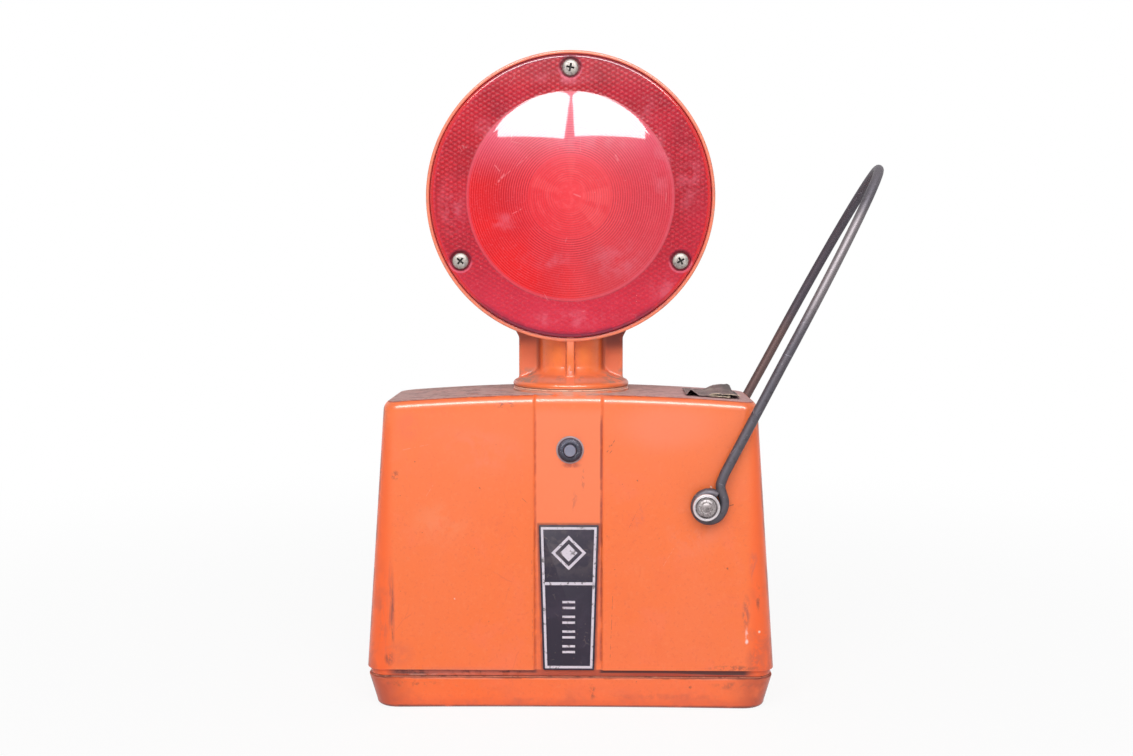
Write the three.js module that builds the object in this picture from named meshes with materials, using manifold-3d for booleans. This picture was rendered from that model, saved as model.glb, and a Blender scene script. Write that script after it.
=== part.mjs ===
import * as THREE from 'three';
import { mergeVertices } from 'three/addons/utils/BufferGeometryUtils.js';
import Module from 'manifold-3d';

// Portable warning light, in millimetres. +Z is up, the lens faces -Y and the bail leans to +X.
// The origin is the middle of the base, on the surface that it stands on.

const wasm = await Module();
wasm.setup();

const TURN = 2 * Math.PI;
const RIGHT_ANGLE = Math.PI / 2;
const DEGREE = Math.PI / 180;

// Clearances and tolerances that all pieces share
const gap = 0.3;
const overrun = 2;
const weldDistance = 0.001;

// Case shell: sizes over the raised panels, then the wall and the step down to the bare strip and band
const shell = {
  footWidth: 266.2,
  footDepth: 96,
  footHeight: 27.5,
  shoulderWidth: 241.2,
  shoulderDepth: 86,
  shoulderHeight: 195,
  levelDrop: 11,
  crown: 6.2,
  topRound: 6.4,
  cornerRound: 13,
  wall: 2.4,
  roof: 3,
  panelProud: 1.9,
  seamHeight: 23.4,
  stripWidth: 42.8,
  stripDraft: 0.9,
};

// Base tray
const tray = {
  rimWidth: 263.2,
  rimDepth: 92.4,
  rimRound: 12,
  draftShare: 0.316,
  bottomRound: 7,
  wall: 3,
  floor: 3,
  lipWall: 2.2,
  lipHeight: 9,
  lipRoot: 10,
  cradleWall: 2,
  cradleHeight: 9,
};

const seal = { thickness: 0.8, width: 2.4, setBack: 0.6 };

// Screws that hold the tray to four bosses in the shell
const traySeat = {
  inset: 21.1,
  y: 25,
  postRadius: 6,
  bossRadius: 6,
  bossHeight: 30,
  ribThickness: 3,
  pocketRadius: 5.4,
  pocketDepth: 4.2,
};
const trayScrew = { headRadius: 4.4, headHeight: 2.8, shankRadius: 2, length: 42 };

// Turning joint between the lamp head and the case
const swivel = {
  spigotRadius: 19.7,
  boreRadius: 16,
  spigotLength: 18,
  flangeRadius: 38.5,
  flangeEdge: 1.9,
  sealInner: 24,
  nutWidth: 50,
  nutHeight: 7,
};

// Lamp head: a bowl turned about the lens axis, on a neck
const head = {
  neckLength: 30.4,
  rimRadius: 92.8,
  rimForward: 30,
  wall: 3,
  backForward: -28,
  seatForward: 26.5,
  seatInner: 86.4,
  neckRadius: 21.4,
  neckFoot: 13,
  webHalfWidth: 34.6,
  webThickness: 5,
  ribWidth: 5.2,
  ribFoot: 4,
};

// Lens, its seal and the three screws that hold it
const lens = {
  radius: 90.1,
  faceForward: 31.6,
  thickness: 3.2,
  edgeRound: 2.6,
  domeRadius: 66.4,
  domeRise: 11,
  screwCircle: 81.6,
  pocketRadius: 6.4,
  pocketDepth: 1.6,
};
const lensSeal = { inner: 86.8, thickness: 1.2 };
const lensScrew = { headRadius: 5.1, headHeight: 2.6, shankRadius: 1.9, length: 15.5 };
const lensBoss = { radius: 5.2, height: 15 };
const screwAngles = [90, 210, 330].map((angle) => angle * DEGREE);

// Reflector, socket and bulb on the lens axis
const reflector = { rimRadius: 75, flangeRadius: 85.6, neckRadius: 12, thickness: 1.1, depth: 32 };
const socket = { outer: 11, bore: 7.5, flangeRadius: 17, flangeThickness: 2, front: 3, length: 20, floor: 3 };
const bulb = { baseRadius: 7.1, baseLength: 14, glassRadius: 10, neckRadius: 5.6, glassLength: 23 };

// Lamp cable and the plug on its lower end
const cable = { radius: 2.5, plugRadius: 5, plugLength: 20 };
const receptacle = { outer: 8.4, height: 15.5, floor: 2.2 };

// Batteries, their springs and the board above them
const battery = { width: 66.5, height: 101, spacing: 1, edge: 3, springOffset: 20 };
const spring = { wire: 1.2, baseRadius: 8, tipRadius: 3.6, height: 12.6, turns: 3 };
const contact = { width: 12, thickness: 0.6, overhang: 8 };
const board = { width: 150, depth: 76, thickness: 2, screwInset: 9, screwY: 34.5 };
const boardBoss = { radius: 5, height: 22, outset: 2.4 };
const boardScrew = { headRadius: 3.6, headHeight: 1.8, shankRadius: 1.6, length: 14 };
const capacitor = { radius: 9, length: 34, x: 38, y: 17 };
const transistor = { canRadius: 9.5, canHeight: 7, flangeWidth: 26, flangeThickness: 1.6, x: -38, y: 14 };
const resistor = { radius: 2.6, length: 15, x: 42, y: -20 };

// Push switch on the centre strip
const button = {
  belowCorner: 30.7,
  ringRadius: 8.9,
  ringForward: 4.2,
  ringLip: 1.4,
  ringChamfer: 1.3,
  bushRadius: 5.6,
  plungerRadius: 3.85,
  plungerForward: 6,
  plungerBore: 4.2,
  shoulderRadius: 5.4,
  shoulderThickness: 1.5,
  shoulderForward: -9.3,
  cavityRadius: 5.9,
  cavityDepth: 13.5,
  bodyWidth: 17,
  bodyForward: -5.8,
  bodyLength: 20,
  nutWidth: 17,
  nutThickness: 2.5,
  springWire: 0.8,
  springTurns: 4,
};

// Plate on the centre strip
const plate = {
  topHeight: 121.3,
  bottomHeight: 27.8,
  topWidth: 37.6,
  bottomWidth: 33,
  thickness: 1.2,
  line: 1.8,
  lineRelief: 0.3,
  margin: 1,
  dividerHeight: 84.3,
  diamondWidth: 19,
};

// Bail: a wire loop that turns on a bolt at each face of the case
const bail = {
  pivotX: 86.6,
  pivotHeight: 135.8,
  lean: 27.7 * DEGREE,
  wire: 6.35,
  reach: 244.5,
  archRise: 140,
  eyeRadius: 8.5,
  eyeOffsetAcross: 2.12,
  eyeOffsetAlong: 0.45,
  eyeCutAngle: -266 * DEGREE,
  frontOffsetLow: 2.1,
  frontOffsetHigh: 0.1,
  rearOffsetLow: 3.3,
  rearOffsetHigh: 4.2,
};
// Places on the jog between eye and leg, across and along the leg, as shares of the eye's radius
const jogShares = [[0.97, 0.5], [0.8, 1.0], [0.5, 1.38], [0.21, 1.75], [0.03, 2.25]];

const pivot = {
  standoff: 0.6,
  innerRadius: 9,
  innerThickness: 1.4,
  cupRadius: 8.65,
  cupFloor: 1.5,
  cupRim: 3.2,
  cupWell: 6.7,
  boltRadius: 2.8,
  boltHeadRadius: 5.5,
  boltHeadHeight: 2.3,
  backingRadius: 8,
  backingThickness: 1.2,
  nutWidth: 11,
  nutThickness: 4,
  boltTail: 1.6,
};

// Strip of cloth tape on the right of the top, lifted in two places
const tape = { left: 77, length: 34, front: -30, depth: 42, thickness: 1, lift: 5 };
// Places along the tape and their lift above the top, both as shares
const tapeShares = [[0, 0.8], [0.08, 0.75], [0.24, 0.06], [0.5, 0.1], [0.6, 0.7], [0.68, 1], [0.9, 1], [1, 0.02]];

// Facet counts
const facets = { bowl: 48, lens: 40, neck: 36, ring: 20, small: 12, wire: 8, corner: 5, panel: 4, round: 4 };

const finishes = {
  orange: { color: 0xf5733c, roughness: 0.45, metalness: 0 },
  lensRed: { color: 0xd42a3c, roughness: 0.15, metalness: 0 },
  rubber: { color: 0x2b2b30, roughness: 0.8, metalness: 0 },
  black: { color: 0x353139, roughness: 0.5, metalness: 0 },
  grey: { color: 0x9a9cac, roughness: 0.5, metalness: 0 },
  wire: { color: 0x5d565c, roughness: 0.5, metalness: 0.8 },
  zinc: { color: 0xc9c6c2, roughness: 0.35, metalness: 0.9 },
  brass: { color: 0xb5974e, roughness: 0.4, metalness: 0.9 },
  mirror: { color: 0xd8d8dc, roughness: 0.1, metalness: 1 },
  glass: { color: 0xe8eef0, roughness: 0.05, metalness: 0 },
  board: { color: 0x7a5630, roughness: 0.7, metalness: 0 },
  battery: { color: 0x2f4a6b, roughness: 0.5, metalness: 0 },
  cloth: { color: 0x8d7f7c, roughness: 0.9, metalness: 0 },
  cable: { color: 0x202024, roughness: 0.6, metalness: 0 },
};

// Solids

function mergedTriangles(geometry) {
  const bare = geometry.clone();
  bare.deleteAttribute('normal');
  bare.deleteAttribute('uv');
  const merged = mergeVertices(bare, weldDistance);
  const corners = [];
  for (let i = 0; i < merged.index.count; i += 3) {
    const [a, b, c] = [0, 1, 2].map((step) => merged.index.getX(i + step));
    if (a !== b && b !== c && c !== a) {
      corners.push(a, b, c);
    }
  }
  return { places: merged.attributes.position.array, corners };
}

function enclosedVolume(places, corners) {
  const at = (i) => new THREE.Vector3().fromArray(places, i * 3);
  let volume = 0;
  for (let i = 0; i < corners.length; i += 3) {
    volume += at(corners[i]).dot(at(corners[i + 1]).cross(at(corners[i + 2])));
  }
  return volume;
}

// A closed geometry as a solid, with its faces turned outwards
function solid(geometry) {
  const { places, corners } = mergedTriangles(geometry);
  if (enclosedVolume(places, corners) < 0) {
    corners.reverse();
  }
  const mesh = new wasm.Mesh({
    numProp: 3,
    vertProperties: new Float32Array(places),
    triVerts: new Uint32Array(corners),
  });
  return new wasm.Manifold(mesh);
}

function joined(shapes) {
  return shapes.reduce((whole, shape) => whole.add(shape));
}

function cut(body, cutters) {
  return cutters.reduce((whole, cutter) => whole.subtract(cutter), body);
}

function geometryOf(shape) {
  const mesh = shape.getMesh();
  const geometry = new THREE.BufferGeometry();
  geometry.setAttribute('position', new THREE.BufferAttribute(mesh.vertProperties, 3));
  geometry.setIndex(new THREE.BufferAttribute(mesh.triVerts, 1));
  return geometry;
}

function box([width, depth, height], [x, y, z]) {
  return solid(new THREE.BoxGeometry(width, depth, height).translate(x, y, z));
}

// A disc or rod that stands on its base at the given place
function rod(radius, base, height, [x, y] = [0, 0], sides = facets.small) {
  const geometry = new THREE.CylinderGeometry(radius, radius, height, sides);
  return solid(geometry.rotateX(RIGHT_ANGLE).translate(x, y, base + height / 2));
}

// A rod along Y between two places forward of the XZ plane
function rodForward(radius, back, front, [x, z] = [0, 0], sides = facets.small) {
  const geometry = new THREE.CylinderGeometry(radius, radius, front - back, sides);
  return solid(geometry.translate(x, -(front + back) / 2, z));
}

// A profile of [radius, height] turned about Z
function turnedUpright(profile, sides) {
  const points = profile.map(([radius, height]) => new THREE.Vector2(radius, height));
  return solid(new THREE.LatheGeometry(points, sides).rotateX(RIGHT_ANGLE));
}

// A profile of [radius, distance towards the front] turned about Y
function turnedForward(profile, sides) {
  const points = profile.map(([radius, forward]) => new THREE.Vector2(radius, -forward));
  return solid(new THREE.LatheGeometry(points, sides));
}

function closedLoop(profile) {
  return [...profile, profile[0]];
}

// Outline drawn in X and Z, made thick towards the front from a plane at the given distance
function slabForward(shape, back, thickness) {
  const geometry = new THREE.ExtrudeGeometry(shape, { depth: thickness, bevelEnabled: false });
  return solid(geometry.rotateX(RIGHT_ANGLE).translate(0, -back, 0));
}

function outline(points) {
  return new THREE.Shape(points.map(([x, y]) => new THREE.Vector2(x, y)));
}

// A curve whose stations are the steps of a sweep, so that bends can have closer steps than straights
class StationPath extends THREE.CatmullRomCurve3 {
  getPointAt(share, target) {
    return this.getPoint(share, target);
  }

  getTangentAt(share, target) {
    return this.getTangent(share, target);
  }

  getSpacedPoints(steps) {
    return this.getPoints(steps);
  }
}

function roundSection(radius, sides) {
  const points = [];
  for (let i = 0; i < sides; i++) {
    const angle = (TURN * (i + 1 / 2)) / sides;
    points.push([radius * Math.cos(angle), radius * Math.sin(angle)]);
  }
  return outline(points);
}

function tube(stations, radius, sides = facets.wire) {
  const extrudePath = new StationPath(stations, false, 'centripetal');
  const settings = { extrudePath, steps: stations.length - 1, bevelEnabled: false };
  return solid(new THREE.ExtrudeGeometry(roundSection(radius, sides), settings));
}

// A helix that narrows from its foot to its tip, along Z
function coil({ wire, baseRadius, tipRadius, height, turns }) {
  const stepsInTurn = 8;
  const steps = stepsInTurn * turns;
  const stations = [];
  for (let i = 0; i <= steps; i++) {
    const share = i / steps;
    const angle = TURN * turns * share;
    const radius = THREE.MathUtils.lerp(baseRadius, tipRadius, share);
    const rise = THREE.MathUtils.lerp(wire / 2, height - wire / 2, share);
    stations.push(new THREE.Vector3(radius * Math.cos(angle), radius * Math.sin(angle), rise));
  }
  return tube(stations, wire / 2, 5);
}

// A hexagonal nut along Y, given across its flats
function nutForward(acrossFlats, boreRadius, back, front) {
  const body = rodForward(acrossFlats / 2 / Math.cos(TURN / 12), back, front, [0, 0], 6);
  return cut(body, [rodForward(boreRadius, back - overrun, front + overrun)]);
}

function washerForward(outer, inner, back, front) {
  const profile = [[inner, back], [outer, back], [outer, front], [inner, front]];
  return turnedForward(closedLoop(profile), facets.ring);
}

// A pan-head screw along Z: its seat is at zero, its head above and its shank below
function panScrew({ headRadius, headHeight, shankRadius, length }) {
  const profile = [
    [0, -length],
    [shankRadius * 0.5, -length],
    [shankRadius, -length + shankRadius],
    [shankRadius, 0],
    [headRadius, 0],
    [headRadius, headHeight * 0.35],
    [headRadius * 0.86, headHeight * 0.78],
    [headRadius * 0.5, headHeight],
    [0, headHeight],
  ];
  const arm = headRadius * 1.05;
  const slot = headRadius * 0.22;
  const depth = headHeight * 0.5;
  const recess = [
    box([arm, slot, depth + overrun], [0, 0, headHeight + (overrun - depth) / 2]),
    box([slot, arm, depth + overrun], [0, 0, headHeight + (overrun - depth) / 2]),
  ];
  return cut(turnedUpright(profile, facets.small), recess);
}

// Building the tree

const light = new THREE.Group();

function addTo(group, name, shape, finish, position = [0, 0, 0], rotation = [0, 0, 0]) {
  const material = new THREE.MeshStandardMaterial(finishes[finish]);
  const mesh = new THREE.Mesh(geometryOf(shape), material);
  mesh.name = name;
  mesh.position.set(...position);
  mesh.rotation.set(...rotation);
  group.add(mesh);
}

// Outline of the case and what follows it

function heightShare(height) {
  return (height - shell.footHeight) / (shell.shoulderHeight - shell.footHeight);
}

function halfWidthAt(height) {
  return THREE.MathUtils.lerp(shell.footWidth, shell.shoulderWidth, heightShare(height)) / 2;
}

function halfDepthAt(height) {
  return THREE.MathUtils.lerp(shell.footDepth, shell.shoulderDepth, heightShare(height)) / 2;
}

const innerSetBack = shell.wall + shell.panelProud;
const cornerHeight = shell.shoulderHeight + shell.topRound;
const levelHeight = shell.shoulderHeight - shell.levelDrop;
const topHeight = cornerHeight + shell.crown;
const topHalfWidth = halfWidthAt(cornerHeight);
const buttonHeight = cornerHeight - button.belowCorner;
const traySeatX = shell.footWidth / 2 - traySeat.inset;
const flangeBase = topHeight + seal.thickness + 2 * gap;
const lensHeight = flangeBase + head.neckLength + head.rimRadius;
const faceLean = Math.atan((shell.footDepth - shell.shoulderDepth) / 2 / (shell.shoulderHeight - shell.footHeight));

function crownHeight(x) {
  return cornerHeight + shell.crown * (1 - (x / topHalfWidth) ** 2);
}

function stripForward(height) {
  return halfDepthAt(height) - shell.panelProud;
}

// Front edge of a cross-section, from left to right: corner, panel, centre strip, panel, corner
function frontEdge(halfWidth, halfDepth, corner, stripDepth) {
  const left = [];
  for (let i = 0; i <= facets.corner; i++) {
    const angle = Math.PI + (RIGHT_ANGLE * i) / facets.corner;
    left.push([-halfWidth + corner + corner * Math.cos(angle), -halfDepth + corner + corner * Math.sin(angle)]);
  }
  const panelStart = -halfWidth + corner;
  const panelEnd = -shell.stripWidth / 2 - shell.stripDraft;
  for (let i = 1; i < facets.panel; i++) {
    left.push([THREE.MathUtils.lerp(panelStart, panelEnd, i / facets.panel), -halfDepth]);
  }
  left.push([panelEnd, -halfDepth], [-shell.stripWidth / 2, -halfDepth + stripDepth]);
  const right = left.map(([x, y]) => [-x, y]).reverse();
  return [...left, [0, -halfDepth + stripDepth], ...right];
}

// A closed ring: the front edge and its mirror image at the back, at a height that may follow the crown
function ring(edge, height, crown = 0) {
  const lift = (x) => crown * (1 - (x / topHalfWidth) ** 2);
  const front = edge.map(([x, y]) => new THREE.Vector3(x, y, height + lift(x)));
  const back = front.map(({ x, y, z }) => new THREE.Vector3(x, -y, z)).reverse();
  return [...front, ...back];
}

// Rings of equal counts joined from the lowest to the highest, closed across at both ends
function loft(rings) {
  const count = rings[0].length;
  const index = [];
  for (let level = 0; level < rings.length - 1; level++) {
    for (let i = 0; i < count; i++) {
      const next = (i + 1) % count;
      const [a, b] = [level * count + i, level * count + next];
      const [c, d] = [b + count, a + count];
      index.push(a, b, c, a, c, d);
    }
  }
  const last = (rings.length - 1) * count;
  for (let i = 0; i < count / 2 - 1; i++) {
    const [a, b, c, d] = [i, i + 1, count - 2 - i, count - 1 - i];
    index.push(a, c, b, a, d, c);
    index.push(last + a, last + b, last + c, last + a, last + c, last + d);
  }
  const geometry = new THREE.BufferGeometry();
  geometry.setAttribute('position', new THREE.BufferAttribute(
    new Float32Array(rings.flat().flatMap((point) => point.toArray())), 3));
  geometry.setIndex(index);
  return solid(geometry);
}

// Case shell

const boardHeight = tray.floor + 2 * gap + battery.height + spring.height + 2 * gap + contact.thickness + gap;
const boardTop = boardHeight + board.thickness;

function shellSkin() {
  const bandInset = shell.panelProud;
  const section = (height, inset, stripDepth, atHeight = height, crown = 0) => ring(
    frontEdge(
      halfWidthAt(height) - inset,
      halfDepthAt(height) - inset,
      shell.cornerRound - inset,
      stripDepth,
    ), atHeight, crown);
  const rings = [
    section(shell.footHeight, bandInset, 0, shell.seamHeight),
    section(shell.footHeight, bandInset, 0),
    section(shell.footHeight, 0, shell.panelProud),
    section(levelHeight, 0, shell.panelProud),
  ];
  for (let i = 0; i <= facets.round; i++) {
    const angle = (RIGHT_ANGLE * i) / facets.round;
    const inset = shell.topRound * (1 - Math.cos(angle));
    const height = cornerHeight - shell.topRound * (1 - Math.sin(angle));
    rings.push(section(height, inset, shell.panelProud, height, shell.crown));
  }
  return loft(rings);
}

function shellHollow() {
  const section = (height, inset, atHeight, crown = 0) => ring(
    frontEdge(halfWidthAt(height) - inset, halfDepthAt(height) - inset, shell.cornerRound - innerSetBack, 0),
    atHeight, crown);
  const roofHeight = cornerHeight - shell.roof;
  return loft([
    section(shell.footHeight, innerSetBack, shell.seamHeight - overrun),
    section(shell.footHeight, innerSetBack, shell.footHeight),
    section(shell.shoulderHeight, innerSetBack, roofHeight - shell.roof, shell.crown),
    section(shell.shoulderHeight, innerSetBack + shell.roof, roofHeight, shell.crown),
  ]);
}

const boltSides = [-1, 1];
const traySeats = [-1, 1].flatMap((x) => [-1, 1].map((y) => [x * traySeatX, y * traySeat.y]));
const boardScrewX = board.width / 2 - board.screwInset;
const boardSeats = [-1, 1].flatMap((x) => [-1, 1].map((y) => [x * boardScrewX, y * board.screwY]));
const trayPostTop = shell.seamHeight + tray.lipHeight;

function shellBosses() {
  const bossBase = trayPostTop + gap;
  const reach = halfWidthAt(bossBase) - shell.panelProud - traySeatX;
  const trayBosses = traySeats.flatMap(([x, y]) => [
    rod(traySeat.bossRadius, bossBase, traySeat.bossHeight, [x, y]),
    box(
      [reach, traySeat.ribThickness, traySeat.bossHeight],
      [x + (Math.sign(x) * reach) / 2, y, bossBase + traySeat.bossHeight / 2],
    ),
  ]);
  const boardBosses = boardSeats.map(([x, y]) => rod(
    boardBoss.radius, boardTop + gap, boardBoss.height, [x, y + Math.sign(y) * boardBoss.outset]));
  const seatPad = rod(swivel.flangeRadius, topHeight - shell.roof - shell.wall, shell.roof + shell.wall,
    [0, 0], facets.neck);
  return [...trayBosses, ...boardBosses, seatPad];
}

function shellHoles() {
  const pivotReach = halfDepthAt(bail.pivotHeight);
  const bossBase = trayPostTop + gap;
  return [
    rod(swivel.spigotRadius + gap, topHeight - shell.roof * 3, shell.roof * 3 + overrun, [0, 0], facets.neck),
    rodForward(button.bushRadius + gap, stripForward(buttonHeight) - shell.wall - overrun,
      stripForward(buttonHeight) + overrun, [0, buttonHeight]),
    ...boltSides.map((side) => {
      const [near, far] = [pivotReach - innerSetBack - overrun, pivotReach + overrun].map((y) => y * side);
      return rodForward(pivot.boltRadius + gap, Math.min(near, far), Math.max(near, far),
        [bail.pivotX, bail.pivotHeight]);
    }),
    ...traySeats.map((place) => rod(trayScrew.shankRadius + gap, bossBase - overrun, traySeat.bossHeight, place)),
    ...boardSeats.map((place) => rod(boardScrew.shankRadius + gap, boardTop - overrun,
      boardScrew.length + overrun, place)),
  ];
}

function addShell(group) {
  addTo(group, 'case_shell', cut(joined([shellSkin().subtract(shellHollow()), ...shellBosses()]), shellHoles()),
    'orange');
}

// Base tray, its seal and its screws

const trayRim = shell.seamHeight - seal.thickness - 2 * gap;

function traySection(height, inset) {
  return ring(frontEdge(tray.rimWidth / 2 - inset, tray.rimDepth / 2 - inset, tray.rimRound, 0), height);
}

function traySkin() {
  const slopeInset = tray.draftShare * (trayRim - tray.bottomRound);
  const rings = [];
  for (let i = 0; i <= facets.round; i++) {
    const angle = (RIGHT_ANGLE * i) / facets.round;
    const inset = slopeInset + tray.bottomRound * (1 - Math.sin(angle));
    rings.push(traySection(tray.bottomRound * (1 - Math.cos(angle)), inset));
  }
  rings.push(traySection(trayRim, 0));
  return loft(rings);
}

function addTray(group) {
  const slopeInset = tray.draftShare * (trayRim - tray.bottomRound);
  const hollow = loft([
    traySection(tray.floor, slopeInset + tray.wall * 2),
    traySection(tray.bottomRound, slopeInset + tray.wall),
    traySection(trayRim + overrun, tray.wall),
  ]);
  const shellInner = (shell.footWidth - tray.rimWidth) / -2 + innerSetBack;
  const lipInset = shellInner + gap;
  const lipLean = halfWidthAt(shell.footHeight) - halfWidthAt(trayPostTop);
  const lip = loft([
    traySection(trayRim - tray.lipRoot, lipInset),
    traySection(shell.footHeight, lipInset),
    traySection(trayPostTop, lipInset + lipLean),
  ]).subtract(loft([
    traySection(trayRim - tray.lipRoot - overrun, lipInset + tray.lipWall),
    traySection(trayPostTop + overrun, lipInset + tray.lipWall),
  ]));
  const cradle = {
    width: 2 * battery.width + battery.spacing + 2 * gap,
    depth: battery.width + 2 * gap,
    middle: tray.floor + tray.cradleHeight / 2,
  };
  const fence = box([cradle.width + 2 * tray.cradleWall, cradle.depth + 2 * tray.cradleWall, tray.cradleHeight],
    [0, 0, cradle.middle]).subtract(
    box([cradle.width, cradle.depth, tray.cradleHeight + overrun], [0, 0, cradle.middle]));
  const posts = traySeats.map((place) => rod(traySeat.postRadius, tray.floor / 2, trayPostTop - tray.floor / 2, place));
  const holes = traySeats.flatMap((place) => [
    rod(traySeat.pocketRadius, -overrun, traySeat.pocketDepth + overrun, place),
    rod(trayScrew.shankRadius + gap, 0, trayPostTop + overrun, place),
  ]);
  addTo(group, 'base_tray', cut(joined([traySkin().subtract(hollow), lip, fence, ...posts]), holes), 'orange');

  const sealBase = trayRim + gap;
  const sealRing = loft([
    traySection(sealBase, seal.setBack),
    traySection(sealBase + seal.thickness, seal.setBack),
  ]).subtract(loft([
    traySection(sealBase - overrun, seal.setBack + seal.width),
    traySection(sealBase + seal.thickness + overrun, seal.setBack + seal.width),
  ]));
  addTo(group, 'tray_seal', sealRing, 'rubber');

  const ends = ['left_front', 'left_rear', 'right_front', 'right_rear'];
  traySeats.forEach(([x, y], i) => {
    addTo(group, `tray_screw_${ends[i]}`, panScrew(trayScrew), 'zinc',
      [x, y, traySeat.pocketDepth - gap], [Math.PI, 0, 0]);
  });
}

// Batteries, springs, contact strips and the board

function addPower(group) {
  const base = tray.floor + gap;
  const half = (battery.width + battery.spacing) / 2;
  const springBase = base + battery.height + gap;
  const corner = battery.edge;
  const side = battery.width / 2;
  const block = () => {
    const square = outline([
      [-side + corner, -side], [side - corner, -side], [side, -side + corner], [side, side - corner],
      [side - corner, side], [-side + corner, side], [-side, side - corner], [-side, -side + corner],
    ]);
    return solid(new THREE.ExtrudeGeometry(square, { depth: battery.height, bevelEnabled: false }));
  };
  const cells = [['left', -half], ['right', half]];
  cells.forEach(([name, x]) => {
    addTo(group, `battery_${name}`, block(), 'battery', [x, 0, base]);
    addTo(group, `battery_spring_${name}_centre`, coil(spring), 'zinc', [x, 0, springBase]);
    addTo(group, `battery_spring_${name}_corner`, coil(spring), 'zinc',
      [x + Math.sign(x) * battery.springOffset, battery.springOffset, springBase]);
  });

  const stripHeight = springBase + spring.height + gap + contact.thickness / 2;
  addTo(group, 'contact_strip_link',
    box([2 * half + 2 * contact.overhang, contact.width, contact.thickness], [0, 0, stripHeight]), 'brass');
  cells.forEach(([name, x]) => {
    addTo(group, `contact_strip_${name}`,
      box([contact.width, contact.width + 2 * contact.overhang, contact.thickness],
        [x + Math.sign(x) * battery.springOffset, battery.springOffset + contact.overhang / 2, stripHeight]), 'brass');
  });
}

function addBoard(group) {
  const sheet = box([board.width, board.depth, board.thickness], [0, 0, boardHeight + board.thickness / 2]);
  const holes = boardSeats.map((place) => rod(boardScrew.shankRadius + gap, boardHeight - overrun,
    board.thickness + 2 * overrun, place));
  addTo(group, 'circuit_board', cut(sheet, holes), 'board');
  const ends = ['left_front', 'left_rear', 'right_front', 'right_rear'];
  boardSeats.forEach(([x, y], i) => {
    addTo(group, `board_screw_${ends[i]}`, panScrew(boardScrew), 'zinc', [x, y, boardHeight - gap], [Math.PI, 0, 0]);
  });

  const seat = boardTop + gap;
  const can = new THREE.CylinderGeometry(capacitor.radius, capacitor.radius, capacitor.length, facets.small);
  addTo(group, 'capacitor', solid(can.rotateZ(RIGHT_ANGLE)), 'battery',
    [capacitor.x, capacitor.y, seat + capacitor.radius]);
  const flange = box([transistor.flangeWidth, 2 * transistor.canRadius, transistor.flangeThickness],
    [0, 0, transistor.flangeThickness / 2]);
  addTo(group, 'power_transistor', joined([flange, rod(transistor.canRadius, 0, transistor.canHeight)]), 'zinc',
    [transistor.x, transistor.y, seat]);
  const stick = new THREE.CylinderGeometry(resistor.radius, resistor.radius, resistor.length, facets.small);
  addTo(group, 'resistor', solid(stick.rotateZ(RIGHT_ANGLE)), 'board', [resistor.x, resistor.y, seat + resistor.radius]);

  const bore = cable.plugRadius + gap;
  const cup = turnedUpright([
    [0, 0], [receptacle.outer, 0], [receptacle.outer, receptacle.height], [bore, receptacle.height],
    [bore, receptacle.floor], [0, receptacle.floor],
  ], facets.ring);
  addTo(group, 'lamp_receptacle', cup, 'black', [0, 0, seat]);
}

// Push switch

function addSwitch(group, plungerGroup) {
  const place = [0, -stripForward(buttonHeight), buttonHeight];
  const lipBack = button.ringForward - button.ringLip;
  const bore = button.bushRadius + gap;
  const ringShape = turnedForward(closedLoop([
    [bore, gap],
    [button.ringRadius, gap],
    [button.ringRadius, button.ringForward - button.ringChamfer],
    [button.ringRadius - button.ringChamfer, button.ringForward],
    [button.plungerBore, button.ringForward],
    [button.plungerBore, lipBack],
    [bore, lipBack],
  ]), facets.ring);
  addTo(group, 'button_ring', ringShape, 'rubber', place);

  const bodyMiddle = -button.bodyForward + button.bodyLength / 2;
  const body = cut(joined([
    box([button.bodyWidth, button.bodyLength, button.bodyWidth], [0, bodyMiddle, 0]),
    rodForward(button.bushRadius, button.bodyForward - overrun, lipBack - gap),
  ]), [
    rodForward(button.plungerBore, button.shoulderForward - overrun, button.ringForward),
    rodForward(button.cavityRadius, button.shoulderForward + gap - button.cavityDepth, button.shoulderForward + gap),
  ]);
  addTo(group, 'switch_body', body, 'black', place);

  const nutFront = -shell.wall - gap;
  addTo(group, 'switch_nut',
    nutForward(button.nutWidth, button.bushRadius + gap, nutFront - button.nutThickness, nutFront), 'zinc', place);

  const plunger = joined([
    rodForward(button.plungerRadius, button.shoulderForward - button.shoulderThickness / 2, button.plungerForward),
    rodForward(button.shoulderRadius, button.shoulderForward - button.shoulderThickness, button.shoulderForward),
  ]);
  addTo(plungerGroup, 'button_plunger', plunger, 'grey', place);

  const springLength = button.cavityDepth - button.shoulderThickness - 3 * gap;
  const returnSpring = {
    wire: button.springWire,
    baseRadius: button.plungerRadius,
    tipRadius: button.plungerRadius,
    height: springLength,
    turns: button.springTurns,
  };
  const springFront = stripForward(buttonHeight) + button.shoulderForward - button.shoulderThickness - gap;
  addTo(group, 'button_spring', coil(returnSpring), 'zinc', [0, -springFront, buttonHeight], [-RIGHT_ANGLE, 0, 0]);

  const leadRadius = button.springWire;
  const rear = -stripForward(buttonHeight) - button.bodyForward + button.bodyLength + gap;
  ['left', 'right'].forEach((name, i) => {
    const side = i * 2 - 1;
    const drop = buttonHeight - boardTop - gap;
    const bendShares = [[0.02, 0], [0.14, 0.02], [0.24, 0.12], [0.24, 0.5], [0.24, 0.8], [0.24, 1]];
    const stations = bendShares.map(([behind, down]) => new THREE.Vector3(
      side * button.bodyWidth * (1 / 4 + down / 2), rear + behind * button.bodyWidth, buttonHeight - down * drop));
    addTo(group, `switch_lead_${name}`, tube(stations, leadRadius, facets.wire), 'cable');
  });
}

// Plate on the centre strip, drawn about the middle of its own height

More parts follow.
